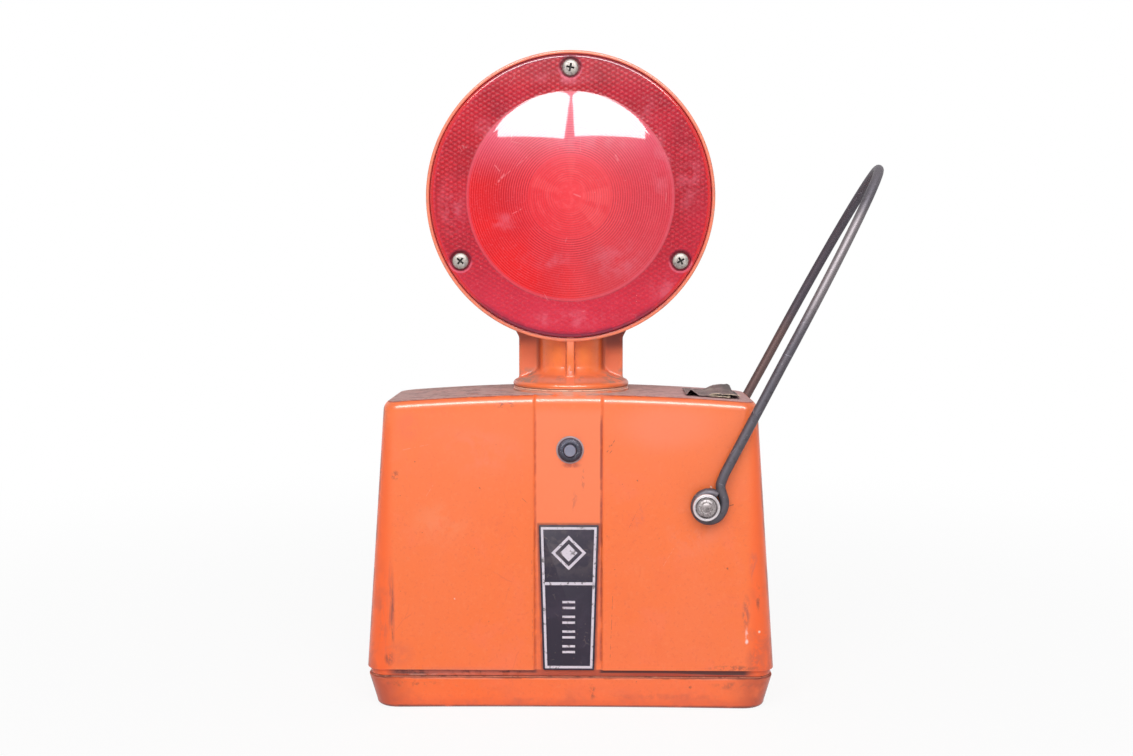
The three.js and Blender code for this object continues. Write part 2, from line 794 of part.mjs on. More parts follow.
function addPlate(group) {
  const middle = (plate.topHeight + plate.bottomHeight) / 2;
  const half = (plate.topHeight - plate.bottomHeight) / 2;
  const halfWidth = (z) => THREE.MathUtils.lerp(plate.bottomWidth, plate.topWidth, (z + half) / half / 2) / 2;
  const border = (inset) => {
    const [low, high] = [-half + inset, half - inset];
    return [
      [-halfWidth(low) + inset, low], [halfWidth(low) - inset, low],
      [halfWidth(high) - inset, high], [-halfWidth(high) + inset, high],
    ];
  };
  const framed = (outerPoints, innerPoints) => {
    const shape = outline(outerPoints);
    shape.holes.push(outline(innerPoints));
    return slabForward(shape, gap, plate.thickness + plate.lineRelief);
  };
  const divider = plate.dividerHeight - middle;
  const lineEnd = halfWidth(divider) - plate.margin;
  const diamondMiddle = (divider + half) / 2;
  const diamond = (reach) => [
    [-reach, diamondMiddle], [0, diamondMiddle - reach], [reach, diamondMiddle], [0, diamondMiddle + reach],
  ];
  const shape = joined([
    slabForward(outline(border(0)), gap, plate.thickness),
    framed(border(plate.margin), border(plate.margin + plate.line)),
    framed(diamond(plate.diamondWidth / 2), diamond(plate.diamondWidth / 2 - plate.line)),
    box([2 * lineEnd, plate.thickness + plate.lineRelief, plate.line],
      [0, -gap - (plate.thickness + plate.lineRelief) / 2, divider]),
  ]);
  addTo(group, 'front_plate', shape, 'black', [0, -stripForward(middle), middle], [-faceLean, 0, 0]);
}

// Bail pivots: bolt, cup washer, inner washer, backing washer and nut on each face

const eyeForward = pivot.standoff + pivot.innerThickness + gap + bail.wire / 2;

function addPivots(group) {
  const reach = halfDepthAt(bail.pivotHeight);
  const cupBack = eyeForward + bail.wire / 2 + gap;
  const cupFloor = cupBack + pivot.cupFloor;
  const cupRim = cupBack + pivot.cupRim;
  const hole = pivot.boltRadius + gap;
  const rimFlat = (pivot.cupRadius - pivot.cupWell) / 3;
  const cup = turnedForward(closedLoop([
    [hole, cupBack], [pivot.cupRadius, cupBack], [pivot.cupRadius, cupRim - rimFlat],
    [pivot.cupRadius - rimFlat, cupRim], [pivot.cupWell + rimFlat, cupRim],
    [pivot.cupWell, cupFloor], [hole, cupFloor],
  ]), facets.ring);
  const backingFront = -innerSetBack - pivot.standoff;
  const nutFront = backingFront - pivot.backingThickness - gap;
  const tail = nutFront - pivot.nutThickness - pivot.boltTail;
  const seat = cupFloor + gap;
  const bolt = turnedForward([
    [0, tail], [pivot.boltRadius, tail], [pivot.boltRadius, seat], [pivot.boltHeadRadius, seat],
    [pivot.boltHeadRadius * 0.93, seat + pivot.boltHeadHeight * 0.5],
    [pivot.boltHeadRadius * 0.6, seat + pivot.boltHeadHeight * 0.88],
    [0, seat + pivot.boltHeadHeight],
  ], facets.ring);
  boltSides.forEach((side) => {
    const name = side < 0 ? 'front' : 'rear';
    const place = [bail.pivotX, side * reach, bail.pivotHeight];
    const turn = [0, 0, side < 0 ? 0 : Math.PI];
    addTo(group, `pivot_bolt_${name}`, bolt, 'zinc', place, turn);
    addTo(group, `pivot_cup_washer_${name}`, cup, 'zinc', place, turn);
    addTo(group, `pivot_inner_washer_${name}`,
      washerForward(pivot.innerRadius, hole, pivot.standoff, pivot.standoff + pivot.innerThickness), 'wire', place, turn);
    addTo(group, `pivot_backing_washer_${name}`,
      washerForward(pivot.backingRadius, hole, backingFront - pivot.backingThickness, backingFront),
      'zinc', place, turn);
    addTo(group, `pivot_nut_${name}`,
      nutForward(pivot.nutWidth, hole, nutFront - pivot.nutThickness, nutFront), 'zinc', place, turn);
  });
}

// Bail, drawn about its pivot: X is across the legs, Y is front to rear and Z runs along them

function bailStations() {
  const spread = halfDepthAt(bail.pivotHeight) + eyeForward;
  const archStart = bail.reach - bail.archRise;
  const eye = (side) => {
    const stations = [];
    const steps = 13;
    for (let i = 0; i <= steps; i++) {
      const angle = bail.eyeCutAngle * (1 - i / steps);
      stations.push(new THREE.Vector3(
        bail.eyeOffsetAcross + bail.eyeRadius * Math.cos(angle), side * spread,
        bail.eyeOffsetAlong + bail.eyeRadius * Math.sin(angle)));
    }
    jogShares.forEach(([across, along]) => stations.push(new THREE.Vector3(
      bail.eyeOffsetAcross + bail.eyeRadius * across, side * spread, bail.eyeOffsetAlong + bail.eyeRadius * along)));
    return stations;
  };
  const leg = (side, low, high) => [0.3, 0.5, 0.75].map((share) => new THREE.Vector3(
    THREE.MathUtils.lerp(low, high, share), side * spread, archStart * share));
  const arch = [];
  const archSteps = 22;
  for (let i = 0; i <= archSteps; i++) {
    const angle = (Math.PI * i) / archSteps;
    const across = THREE.MathUtils.lerp(bail.frontOffsetHigh, bail.rearOffsetHigh, (1 - Math.cos(angle)) / 2);
    arch.push(new THREE.Vector3(across, -spread * Math.cos(angle), archStart + bail.archRise * Math.sin(angle)));
  }
  return [
    ...eye(-1), ...leg(-1, bail.frontOffsetLow, bail.frontOffsetHigh), ...arch,
    ...[...eye(1), ...leg(1, bail.rearOffsetLow, bail.rearOffsetHigh)].reverse(),
  ];
}

function addBail(group) {
  addTo(group, 'bail_wire', tube(bailStations(), bail.wire / 2, facets.wire), 'wire');
}

// Lamp head


function bowlProfile(inset) {
  const back = head.backForward + inset;
  const depth = head.rimForward - head.backForward;
  const shares = [[1, 1], [0.985, 0.86], [0.965, 0.62], [0.92, 0.42], [0.84, 0.25], [0.7, 0.12], [0.45, 0.03], [0, 0]];
  return shares.map(([radius, forward]) => [
    Math.max(head.rimRadius * radius - inset, 0),
    Math.max(head.backForward + depth * forward, back),
  ]);
}

function neckSkin() {
  const foot = head.neckFoot;
  const flare = swivel.flangeRadius - head.neckRadius;
  const profile = [
    [0, flangeBase - swivel.spigotLength],
    [swivel.spigotRadius, flangeBase - swivel.spigotLength],
    [swivel.spigotRadius, flangeBase],
    [swivel.flangeRadius, flangeBase],
    [swivel.flangeRadius, flangeBase + swivel.flangeEdge],
    [head.neckRadius + flare * 0.93, flangeBase + foot * 0.27],
    [head.neckRadius + flare * 0.76, flangeBase + foot * 0.36],
    [head.neckRadius + flare * 0.42, flangeBase + foot * 0.52],
    [head.neckRadius + flare * 0.16, flangeBase + foot * 0.72],
    [head.neckRadius, flangeBase + foot],
    [head.neckRadius, lensHeight - head.seatInner * 0.75],
    [0, lensHeight - head.seatInner * 0.75],
  ];
  return turnedUpright(profile, facets.neck);
}

function addHead(group) {
  const lift = (shape) => shape.translate(0, 0, lensHeight);
  const bowl = lift(turnedForward([[0, head.rimForward], ...bowlProfile(0)], facets.bowl));
  const webFoot = flangeBase + head.neckFoot * 0.3;
  const webTop = lensHeight - head.seatInner * 0.75;
  const webs = box([2 * head.webHalfWidth, head.webThickness, webTop - webFoot], [0, 0, (webTop + webFoot) / 2]);
  const ribTop = lensHeight - head.seatInner;
  const ribFoot = flangeBase + head.ribFoot;
  const rib = box([head.ribWidth, head.rimForward, ribTop - ribFoot],
    [0, -head.rimForward / 2, (ribTop + ribFoot) / 2]);

  const inner = bowlProfile(head.wall).filter(([radius]) => radius < head.seatInner);
  const hollow = lift(turnedForward([
    [0, head.rimForward + overrun],
    [lens.radius + gap, head.rimForward + overrun],
    [lens.radius + gap, head.seatForward],
    [head.seatInner, head.seatForward],
    ...inner,
  ], facets.bowl));
  const neckBore = rod(swivel.boreRadius, flangeBase - swivel.spigotLength - overrun,
    webTop - flangeBase + swivel.spigotLength, [0, 0], facets.ring);
  const bossFront = lens.faceForward - lens.thickness - lensSeal.thickness - 2 * gap;
  const bosses = screwAngles.map((angle) => lift(rodForward(lensBoss.radius, bossFront - lensBoss.height, bossFront,
    [lens.screwCircle * Math.cos(angle), lens.screwCircle * Math.sin(angle)])));
  const screwHoles = screwAngles.map((angle) => lift(rodForward(lensScrew.shankRadius + gap,
    bossFront - lensBoss.height + overrun, bossFront + overrun,
    [lens.screwCircle * Math.cos(angle), lens.screwCircle * Math.sin(angle)])));
  const casting = cut(joined([bowl, neckSkin(), webs, rib]), [hollow, neckBore]);
  addTo(group, 'head_housing', cut(joined([casting, ...bosses]), screwHoles), 'orange');

  const sealBase = topHeight + gap;
  const swivelSeal = turnedUpright(closedLoop([
    [swivel.sealInner, sealBase], [swivel.flangeRadius - seal.setBack, sealBase],
    [swivel.flangeRadius - seal.setBack, sealBase + seal.thickness],
    [swivel.sealInner, sealBase + seal.thickness],
  ]), facets.neck);
  addTo(group, 'swivel_seal', swivelSeal, 'rubber');

  const nutTop = crownHeight(swivel.nutWidth / 2) - shell.roof - shell.wall - gap;
  const nut = rod(swivel.nutWidth / 2 / Math.cos(TURN / 12), nutTop - swivel.nutHeight, swivel.nutHeight, [0, 0], 6);
  addTo(group, 'spigot_nut', cut(nut, [
    rod(swivel.spigotRadius + gap, nutTop - swivel.nutHeight - overrun, swivel.nutHeight + 2 * overrun,
      [0, 0], facets.neck),
  ]), 'zinc');
}

// Lens, seal, screws, reflector, socket and bulb, drawn about the lens axis

function domeForward(radius, rise) {
  const sphere = (lens.domeRadius ** 2 + rise ** 2) / (2 * rise);
  return Math.sqrt(sphere ** 2 - radius ** 2) - (sphere - rise);
}

function addOptics(group) {
  const domeSteps = 6;
  const domePoints = (scale, base) => {
    const points = [];
    for (let i = 0; i <= domeSteps; i++) {
      const radius = (lens.domeRadius * i) / domeSteps;
      points.push([radius * scale, base + domeForward(radius, lens.domeRise)]);
    }
    return points;
  };
  const face = lens.faceForward;
  const back = face - lens.thickness;
  const round = lens.edgeRound;
  const edge = [0, 1 / 3, 2 / 3, 1].map((share) => {
    const angle = RIGHT_ANGLE * share;
    return [lens.radius - round * (1 - Math.sin(angle)), face - round * (1 - Math.cos(angle))];
  });
  const innerScale = (lens.domeRadius - lens.thickness) / lens.domeRadius;
  const lensBody = turnedForward([
    ...domePoints(1, face), ...edge, [lens.radius, back], ...domePoints(innerScale, back).reverse(),
  ], facets.lens);
  const screwPlaces = screwAngles.map((angle) => [
    lens.screwCircle * Math.cos(angle), lens.screwCircle * Math.sin(angle)]);
  const pockets = screwPlaces.flatMap((place) => [
    rodForward(lens.pocketRadius, face - lens.pocketDepth, face + overrun, place),
    rodForward(lensScrew.shankRadius + gap, back - overrun, face + overrun, place),
  ]);
  addTo(group, 'lens', cut(lensBody, pockets), 'lensRed');

  const sealFront = back - gap;
  addTo(group, 'lens_seal', turnedForward(closedLoop([
    [lensSeal.inner, sealFront - lensSeal.thickness], [lens.radius - gap, sealFront - lensSeal.thickness],
    [lens.radius - gap, sealFront], [lensSeal.inner, sealFront],
  ]), facets.lens), 'rubber');

  ['top', 'left', 'right'].forEach((name, i) => {
    const [x, z] = screwPlaces[i];
    addTo(group, `lens_screw_${name}`, panScrew(lensScrew), 'zinc',
      [x, -(face - lens.pocketDepth + gap), z], [RIGHT_ANGLE, 0, 0]);
  });

  const flangeFront = back - gap;
  const wall = reflector.thickness;
  const mirrorSteps = 5;
  const mirror = (grow) => {
    const points = [];
    for (let i = 0; i <= mirrorSteps; i++) {
      const radius = THREE.MathUtils.lerp(reflector.neckRadius, reflector.rimRadius, i / mirrorSteps);
      const share = (radius ** 2 - reflector.neckRadius ** 2) / (reflector.rimRadius ** 2 - reflector.neckRadius ** 2);
      points.push([radius + grow / 2, flangeFront - reflector.depth * (1 - share) - grow]);
    }
    return points;
  };
  const shape = turnedForward(closedLoop([
    ...mirror(0), [reflector.rimRadius, flangeFront], [reflector.flangeRadius, flangeFront],
    [reflector.flangeRadius, flangeFront - wall], ...mirror(wall).reverse(),
  ]), facets.lens);
  const clampHoles = screwPlaces.map((place) => rodForward(lensScrew.shankRadius + gap,
    flangeFront - wall - overrun, flangeFront + overrun, place));
  addTo(group, 'reflector', cut(shape, clampHoles), 'mirror');

  const mirrorBack = flangeFront - wall - reflector.depth;
  const flangeAt = mirrorBack - gap;
  const socketFront = flangeAt + socket.front;
  const socketBack = socketFront - socket.length;
  addTo(group, 'lamp_socket', turnedForward([
    [0, socketBack], [socket.outer, socketBack], [socket.outer, flangeAt - socket.flangeThickness],
    [socket.flangeRadius, flangeAt - socket.flangeThickness], [socket.flangeRadius, flangeAt],
    [socket.outer, flangeAt], [socket.outer, socketFront], [socket.bore, socketFront],
    [socket.bore, socketBack + socket.floor], [0, socketBack + socket.floor],
  ], facets.ring), 'black');

  const baseBack = socketBack + socket.floor + gap;
  const baseFront = baseBack + bulb.baseLength;
  addTo(group, 'bulb_base', turnedForward([
    [0, baseBack], [bulb.baseRadius, baseBack], [bulb.baseRadius, baseFront], [0, baseFront],
  ], facets.small), 'brass');
  const glassBack = baseFront + gap;
  const glassProfile = [[0, 0], [bulb.neckRadius / bulb.glassRadius, 0], [0.62, 0.2], [0.9, 0.4], [1, 0.6],
    [0.88, 0.8], [0.52, 0.95], [0, 1]];
  addTo(group, 'bulb_glass', turnedForward(glassProfile.map(([across, along]) => [
    bulb.glassRadius * across, glassBack + bulb.glassLength * along]), facets.small), 'glass');
  return socketBack;
}

// Lamp cable: from the socket's underside down the neck to the plug in the board's receptacle

function addCable(group, socketBack) {
  const plugBase = boardTop + gap + receptacle.floor + gap;
  const exit = lensHeight - socket.outer - gap;
  const behind = -socketBack - socket.floor * 2;
  const stations = [
    [0, behind, exit], [0, behind, exit - 8], [0, behind * 0.92, exit - 24], [0, behind * 0.62, exit - 44],
    [0, behind * 0.25, exit - 62], [0, behind * 0.04, exit - 78], [0, 0, exit - 95], [0, 0, exit - 125],
    [0, 0, exit - 155], [0, 0, plugBase + cable.plugLength + gap],
  ].map(([x, y, z]) => new THREE.Vector3(x, y, z));
  addTo(group, 'lamp_cable', tube(stations, cable.radius, facets.wire), 'cable');
  addTo(group, 'lamp_plug', rod(cable.plugRadius, plugBase, cable.plugLength, [0, 0], facets.small), 'black');
}

// Cloth tape on the top

function addTape(group) {
  const low = tapeShares.map(([along, lift]) => {
    const x = tape.left + tape.length * along;
    return [x, crownHeight(x) + gap + tape.lift * lift];
  });
  const high = low.map(([x, z]) => [x, z + tape.thickness]).reverse();
  const shape = new THREE.ExtrudeGeometry(outline([...low, ...high]), { depth: tape.depth, bevelEnabled: false });
  addTo(group, 'tape_strip', solid(shape.rotateX(RIGHT_ANGLE).translate(0, tape.front + tape.depth, 0)), 'cloth');
}

const caseGroup = new THREE.Group();
const buttonGroup = new THREE.Group();
const headGroup = new THREE.Group();
const opticsGroup = new THREE.Group();
const bailGroup = new THREE.Group();
opticsGroup.position.set(0, 0, lensHeight);
bailGroup.position.set(bail.pivotX, 0, bail.pivotHeight);
bailGroup.rotation.set(0, bail.lean, 0);

addShell(caseGroup);
addTray(caseGroup);
addPower(caseGroup);
addBoard(caseGroup);
addSwitch(caseGroup, buttonGroup);
addPlate(caseGroup);
addPivots(caseGroup);
addTape(caseGroup);
addHead(headGroup);
addCable(headGroup, addOptics(opticsGroup));
addBail(bailGroup);

headGroup.add(opticsGroup);
light.add(caseGroup, buttonGroup, headGroup, bailGroup);

export default light;
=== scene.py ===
import math

import bmesh
import bpy
from mathutils import Matrix


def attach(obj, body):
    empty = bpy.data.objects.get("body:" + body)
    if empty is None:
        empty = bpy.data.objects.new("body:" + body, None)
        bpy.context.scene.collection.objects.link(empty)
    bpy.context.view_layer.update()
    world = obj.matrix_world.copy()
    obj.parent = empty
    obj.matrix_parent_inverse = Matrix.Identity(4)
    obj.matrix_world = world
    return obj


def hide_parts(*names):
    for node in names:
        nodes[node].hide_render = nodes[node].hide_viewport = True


# Portable warning light. Sizes are in millimetres and become metres where a shape is drawn.
# +Z is up, the lens faces -Y, and "forward" means towards -Y.

MM = 0.001
TURN = 2 * math.pi
QUARTER = math.pi / 2

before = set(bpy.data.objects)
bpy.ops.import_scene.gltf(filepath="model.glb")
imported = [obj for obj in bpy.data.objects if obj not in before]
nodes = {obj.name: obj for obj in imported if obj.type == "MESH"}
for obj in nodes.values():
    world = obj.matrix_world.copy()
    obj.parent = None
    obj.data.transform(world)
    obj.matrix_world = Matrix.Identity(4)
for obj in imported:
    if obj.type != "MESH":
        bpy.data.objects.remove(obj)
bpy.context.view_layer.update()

CASE = {
    "foot_width": 264.9,
    "foot_depth": 96.0,
    "foot_height": 27.5,
    "shoulder_width": 242.0,
    "shoulder_depth": 86.0,
    "shoulder_height": 195.1,
    "corner_height": 201.5,
    "crown": 4.9,
    "pad_height": 207.7,
    "top_round": 6.4,
    "side_round": 4.4,
    "corner_round": 13.0,
    "panel_proud": 1.9,
    "seam_height": 23.4,
    "strip_centre": -1.15,
    "strip_width": 42.0,
    "strip_draft": 1.7,
    "edge_softness": 0.7,
}
TRAY = {
    "rim_width": 264.8,
    "rim_depth": 92.8,
    "rim_height": 22.0,
    "rim_round": 12.0,
    "side_inset": 4.7,
    "bottom_round": 3.8,
    "arch": 0.6,
    "screw_across": 112.0,
    "screw_along": 25.0,
    "pocket_radius": 5.4,
    "pocket_depth": 4.2,
}
HEAD = {
    "height": 332.2,
    "rim_radius": 92.8,
    "rim_forward": 30.0,
    "back_forward": -28.0,
    "wall": 3.0,
    "opening_radius": 90.4,
    "seat_forward": 26.5,
    "seat_radius": 86.4,
    "neck_radius": 21.4,
    "flange_radius": 38.5,
    "flange_base": 209.0,
    "flange_edge": 1.9,
    "neck_foot": 13.0,
    "web_half_width": 34.6,
    "web_thickness": 5.0,
    "rib_width": 5.2,
    "rib_foot": 4.0,
    "gusset_in": 30.0,
    "gusset_out": 43.0,
    "gusset_low": 241.0,
    "gusset_high": 257.0,
    "melt_cell": 0.75,
}
LENS = {
    "radius": 90.1,
    "face_forward": 31.6,
    "thickness": 3.2,
    "edge_round": 1.9,
    "dome_radius": 66.4,
    "dome_rise": 11.0,
    "screw_circle": 81.6,
    "pocket_radius": 6.4,
    "pocket_depth": 1.6,
    "prism_across": 5.45,
    "prism_up": 3.15,
    "wave": 1.5,
}
SCREW = {"head_radius": 5.1, "head_height": 2.6, "seat_forward": 30.3, "recess_arm": 3.2, "recess_slot": 0.78}
# Each lens screw by name: its angle round the lens, and how far it is turned
SCREW_PLACES = {"top": (90, 12), "left": (210, 40), "right": (330, -28)}
BUTTON = {"height": 170.7, "ring_radius": 8.9, "ring_forward": 4.2, "bore": 4.2, "lip": 1.4, "bush_bore": 5.9}
# The plate's back is lifted off the strip, and its lines are sunk a little into its face
PLATE = {
    "centre": -0.8,
    "top": 122.2,
    "bottom": 27.8,
    "top_width": 38.6,
    "bottom_width": 33.0,
    "thickness": 1.2,
    "margin": 1.25,
    "line": 1.55,
    "relief": 0.25,
    "divider": 84.3,
    "lift": 0.3,
    "sunk": 0.05,
    "emblem": 104.3,
    "bars": (70.4, 60.8, 51.2, 41.6),
}
PIVOT = {"x": 86.6, "height": 135.8, "washer_back": 8.65}
BAIL = {
    "lean": math.radians(27.7),
    "wire": 6.35,
    "reach": 244.5,
    "arch_rise": 140.0,
    "arch_steps": 40,
    "eye_steps": 26,
    "eye_radius": 8.7,
    "eye_across": 2.0,
    "eye_along": 0.75,
    "eye_cut": math.radians(-276),
    "front_low": 0.9,
    "front_high": 0.1,
    "rear_low": 3.3,
    "rear_high": 4.2,
    "forward_of_face": 5.475,
}
TAPE = {"left": 75.2, "length": 35.2, "front": -30.0, "depth": 42.0, "thickness": 0.6, "tent": 4.0, "kink": 4.8,
        "gap": 1.9}
# A scrap of a second strip, under the front edge of the first
SCRAP = {"left": TAPE["left"] + 13.5, "length": 15.0, "front": TAPE["front"] - 0.8, "depth": 10.0}
# The floor's size, and the distances between which it fades to white, are in metres
ROOM = {
    "floor": 12,
    "grey": 0.93,
    "near": 0.2,
    "far": 1.1,
    "soft_light": 0.34,
    "key": 3.5,
    "window": 20.0,
    "tilt": math.radians(55),
}
# Each lamp: its middle and size in metres, its roll in degrees, its radiance and what it lights
LAMPS = {
    "window left": ((-0.551, -1.558, 1.522), (0.99, 0.7), -7.7, ROOM["window"], "gloss"),
    "window right": ((0.5285, -1.555, 1.527), (1.033, 0.7), 3.6, ROOM["window"], "gloss"),
    "soft key": ((-0.1, -1.591, 1.475), (2.2, 1.2), 0, ROOM["key"], "colour"),
}
# The camera solved from the edges of the photograph. The focal length is in pixels of the photograph's width
CAMERA = {"place": (11.7, -933, 294.6), "down": 4.98, "turn": 0.9, "focal": 1400, "photo_width": 1133}
SENSOR = 36.0
# How the names of the four tray screws and the four board screws end
CORNERS = [f"{side}_{end}" for side in ("left", "right") for end in ("front", "rear")]


# Modelling helpers


def activate(piece):
    """Selects this piece alone and makes it the active one."""
    bpy.ops.object.select_all(action="DESELECT")
    piece.select_set(True)
    bpy.context.view_layer.objects.active = piece


def start_edit(piece, mode="VERT"):
    activate(piece)
    bpy.ops.object.mode_set(mode="EDIT")
    bpy.ops.mesh.select_mode(type=mode)


def end_edit():
    bpy.ops.object.mode_set(mode="OBJECT")


def select_all():
    bpy.ops.mesh.select_all(action="SELECT")


def select_vertices(piece, wanted):
    """Selects the vertices whose place in millimetres passes the test, and says how many they are."""
    bpy.ops.mesh.select_mode(type="VERT")
    bpy.ops.mesh.select_all(action="DESELECT")
    shape = bmesh.from_edit_mesh(piece.data)
    chosen = [vertex for vertex in shape.verts if wanted(vertex.co / MM)]
    for vertex in chosen:
        vertex.select_set(True)
    shape.select_flush(True)
    bmesh.update_edit_mesh(piece.data)
    return len(chosen)


def select_faces(piece, wanted):
    """Selects the faces whose middle in millimetres and normal pass the test."""
    bpy.ops.mesh.select_mode(type="FACE")
    bpy.ops.mesh.select_all(action="DESELECT")
    shape = bmesh.from_edit_mesh(piece.data)
    for face in shape.faces:
        face.select_set(bool(wanted(face.calc_center_median() / MM, face.normal)))
    bmesh.update_edit_mesh(piece.data)


def metres(place):
    return [MM * p for p in place]


def move(step):
    bpy.ops.transform.translate(value=metres(step))


def stretch(factors, centre=(0, 0, 0)):
    bpy.ops.transform.resize(value=factors, center_override=metres(centre))


def extrude(step=(0, 0, 0)):
    bpy.ops.mesh.extrude_region_move(TRANSFORM_OT_translate={"value": metres(step)})


def round_corners(radius, segments=10):
    bpy.ops.mesh.bevel(offset=radius * MM, segments=segments, affect="VERTICES")
    select_all()


def slice_at(x):
    """Cuts the whole shape by an upright plane across it."""
    select_all()
    bpy.ops.mesh.bisect(plane_co=(x * MM, 0, 0), plane_no=(1, 0, 0))


def hollow_border(width):
    """Leaves only a border of this width round the selected face."""
    bpy.ops.mesh.inset(thickness=width * MM)
    bpy.ops.mesh.delete(type="FACE")
    select_all()


def tidy_shape():
    """Merges doubles, faces everything outwards and leaves all of it selected."""
    bpy.ops.mesh.select_mode(type="VERT")
    select_all()
    bpy.ops.mesh.remove_doubles(threshold=0.01 * MM)
    bpy.ops.mesh.normals_make_consistent(inside=False)


def settle(piece):
    """Applies the piece's place, turn and scale to its mesh."""
    activate(piece)
    bpy.ops.object.transform_apply(location=True, rotation=True, scale=True)


def modify(piece, kind, **settings):
    """Adds a modifier with these settings and applies it."""
    activate(piece)
    modifier = piece.modifiers.new(kind.title(), kind)
    for key, value in settings.items():
        setattr(modifier, key, value)
    bpy.ops.object.modifier_apply(modifier=modifier.name)


def soften_edges(piece, width, angle=28, segments=2):
    modify(piece, "BEVEL", width=width * MM, segments=segments, limit_method="ANGLE",
           angle_limit=math.radians(angle), use_clamp_overlap=True, harden_normals=False)


def smooth(piece, angle=32):
    activate(piece)
    bpy.ops.object.shade_smooth_by_angle(angle=math.radians(angle))


def join(pieces, name):
    activate(pieces[0])
    for piece in pieces:
        piece.select_set(True)
    bpy.ops.object.join()
    pieces[0].name = name
    return pieces[0]


def cut_away(piece, cutters):
    for cutter in cutters:
        modify(piece, "BOOLEAN", operation="DIFFERENCE", object=cutter, solver="EXACT")
        bpy.data.objects.remove(cutter)


def begin(name, scale=(1, 1, 1)):
    """Names the piece that was just added, settles it at this scale and starts to edit all of it."""
    piece = bpy.context.object
    piece.name = name
    piece.scale = scale
    settle(piece)
    start_edit(piece)
    select_all()
    return piece


def sheet(name, width, length, place=(0, 0, 0), upright=False):
    """A flat face, lying down or standing with its front forward, ready to edit."""
    bpy.ops.mesh.primitive_plane_add(size=1, location=metres(place), rotation=(QUARTER if upright else 0, 0, 0))
    return begin(name, (width * MM, length * MM, 1))


def turned(name, profile, sides, axis="Z", centre=(0, 0), closed=False):
    """A round piece drawn ring by ring from a profile of (radius, distance along the axis).

    Along Z the distance is the height, and along Y it is the distance forward."""
    upright = axis == "Z"

    def place(along):
        return (*centre, along) if upright else (centre[0], -along, centre[1])

    radius, along = profile[0]
    bpy.ops.mesh.primitive_circle_add(
        vertices=sides, radius=radius * MM, fill_type="NOTHING" if closed else "NGON",
        location=metres(place(along)), rotation=(0 if upright else QUARTER, 0, 0))
    piece = begin(name)
    for next_radius, next_along in profile[1:]:
        extrude([b - a for a, b in zip(place(along), place(next_along))])
        factor = next_radius / radius
        stretch((factor, factor, 1) if upright else (factor, 1, factor), place(next_along))
        radius, along = next_radius, next_along
    tidy_shape()
    end_edit()
    return piece


def block(name, low, high):
    bpy.ops.mesh.primitive_cube_add(size=1, location=[MM * (a + b) / 2 for a, b in zip(low, high)],
                                    scale=[MM * (b - a) for a, b in zip(low, high)])
    piece = bpy.context.object
    piece.name = name
    settle(piece)
    return piece


def rounded_profile(points, steps):
    """A smooth line through the points, with this many steps between each two."""
    line = []
    ends = [points[0], *points, points[-1]]
    for i in range(len(points) - 1):
        a, b, c, d = ends[i : i + 4]
        for step in range(steps):
            t = step / steps
            line.append(tuple(
                0.5 * (2 * q + (r - p) * t + (2 * p - 5 * q + 4 * r - s) * t**2 + (3 * q - p - 3 * r + s) * t**3)
                for p, q, r, s in zip(a, b, c, d)))
    line.append(points[-1])
    return line


def round_point(centre, radius, angle):
    return (centre[0] + radius * math.cos(angle), centre[1] + radius * math.sin(angle))


def arc(centre, radius, start, end, steps):
    """Points of an arc in a profile, with its angles in degrees from the radius axis."""
    return [round_point(centre, radius, math.radians(start + (end - start) * i / steps)) for i in range(steps + 1)]


def on_lens(angle, middle=0):
    """The x and z of a place on the circle of the lens screws."""
    return round_point((0, middle), LENS["screw_circle"], math.radians(angle))


def finish_piece(piece, body, slot, material, *replaced):
    if material:
        piece.data.materials.clear()
        piece.data.materials.append(material)
    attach(piece, body)
    if replaced:
        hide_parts(*replaced)


def fit_round(name, profile, sides, centre, off, side, angle, finish, closed=False):
    """Turns and finishes a piece that stands this far off the middle, in front or with side -1 at the rear."""
    piece = turned(name, [(radius, side * (off + along)) for radius, along in profile], sides, "Y", centre, closed)
    smooth(piece, angle)
    finish_piece(piece, *finish)


def case_size(at_foot, at_shoulder, height):
    """Half of a size of the case at a height, from its sizes at the foot and at the shoulder."""
    foot, shoulder = CASE["foot_height"], CASE["shoulder_height"]
    return (CASE[at_foot] + (CASE[at_shoulder] - CASE[at_foot]) * ((height - foot) / (shoulder - foot))) / 2


def half_depth_at(height):
    return case_size("foot_depth", "shoulder_depth", height)


def crown_lift(x):
    return CASE["crown"] * (1 - (x / case_size("foot_width", "shoulder_width", CASE["corner_height"])) ** 2)


def strip_forward(height):
    return half_depth_at(height) - CASE["panel_proud"]


# Shader helpers


def put(tree, kind, inputs=None, **settings):
    """Adds a node. An input that is given a socket is linked to it, and any other value is set on it."""
    made = tree.nodes.new(kind)
    for key, value in settings.items():
        setattr(made, key, value)
    for key, value in (inputs or {}).items():
        feed(made.inputs[key], value)
    return made


def feed(socket, value):
    if isinstance(value, bpy.types.NodeSocket):
        socket.id_data.links.new(value, socket)
    else:
        socket.default_value = value


def reckon(kind, operation, values):
    tree = next(value.id_data for value in values if isinstance(value, bpy.types.NodeSocket))
    return put(tree, kind, dict(enumerate(values)), operation=operation).outputs


def calculate(operation, first, second=0.0, third=0.0):
    return reckon("ShaderNodeMath", operation, (first, second, third))[0]


def vector(operation, *values):
    gives_number = operation in ("DOT_PRODUCT", "LENGTH", "DISTANCE")
    return reckon("ShaderNodeVectorMath", operation, values)["Value" if gives_number else "Vector"]


def scaled(direction, factor):
    return put(direction.id_data, "ShaderNodeVectorMath", {0: direction, "Scale": factor}, operation="SCALE").outputs[0]


def split(place):
    return put(place.id_data, "ShaderNodeSeparateXYZ", {0: place}).outputs


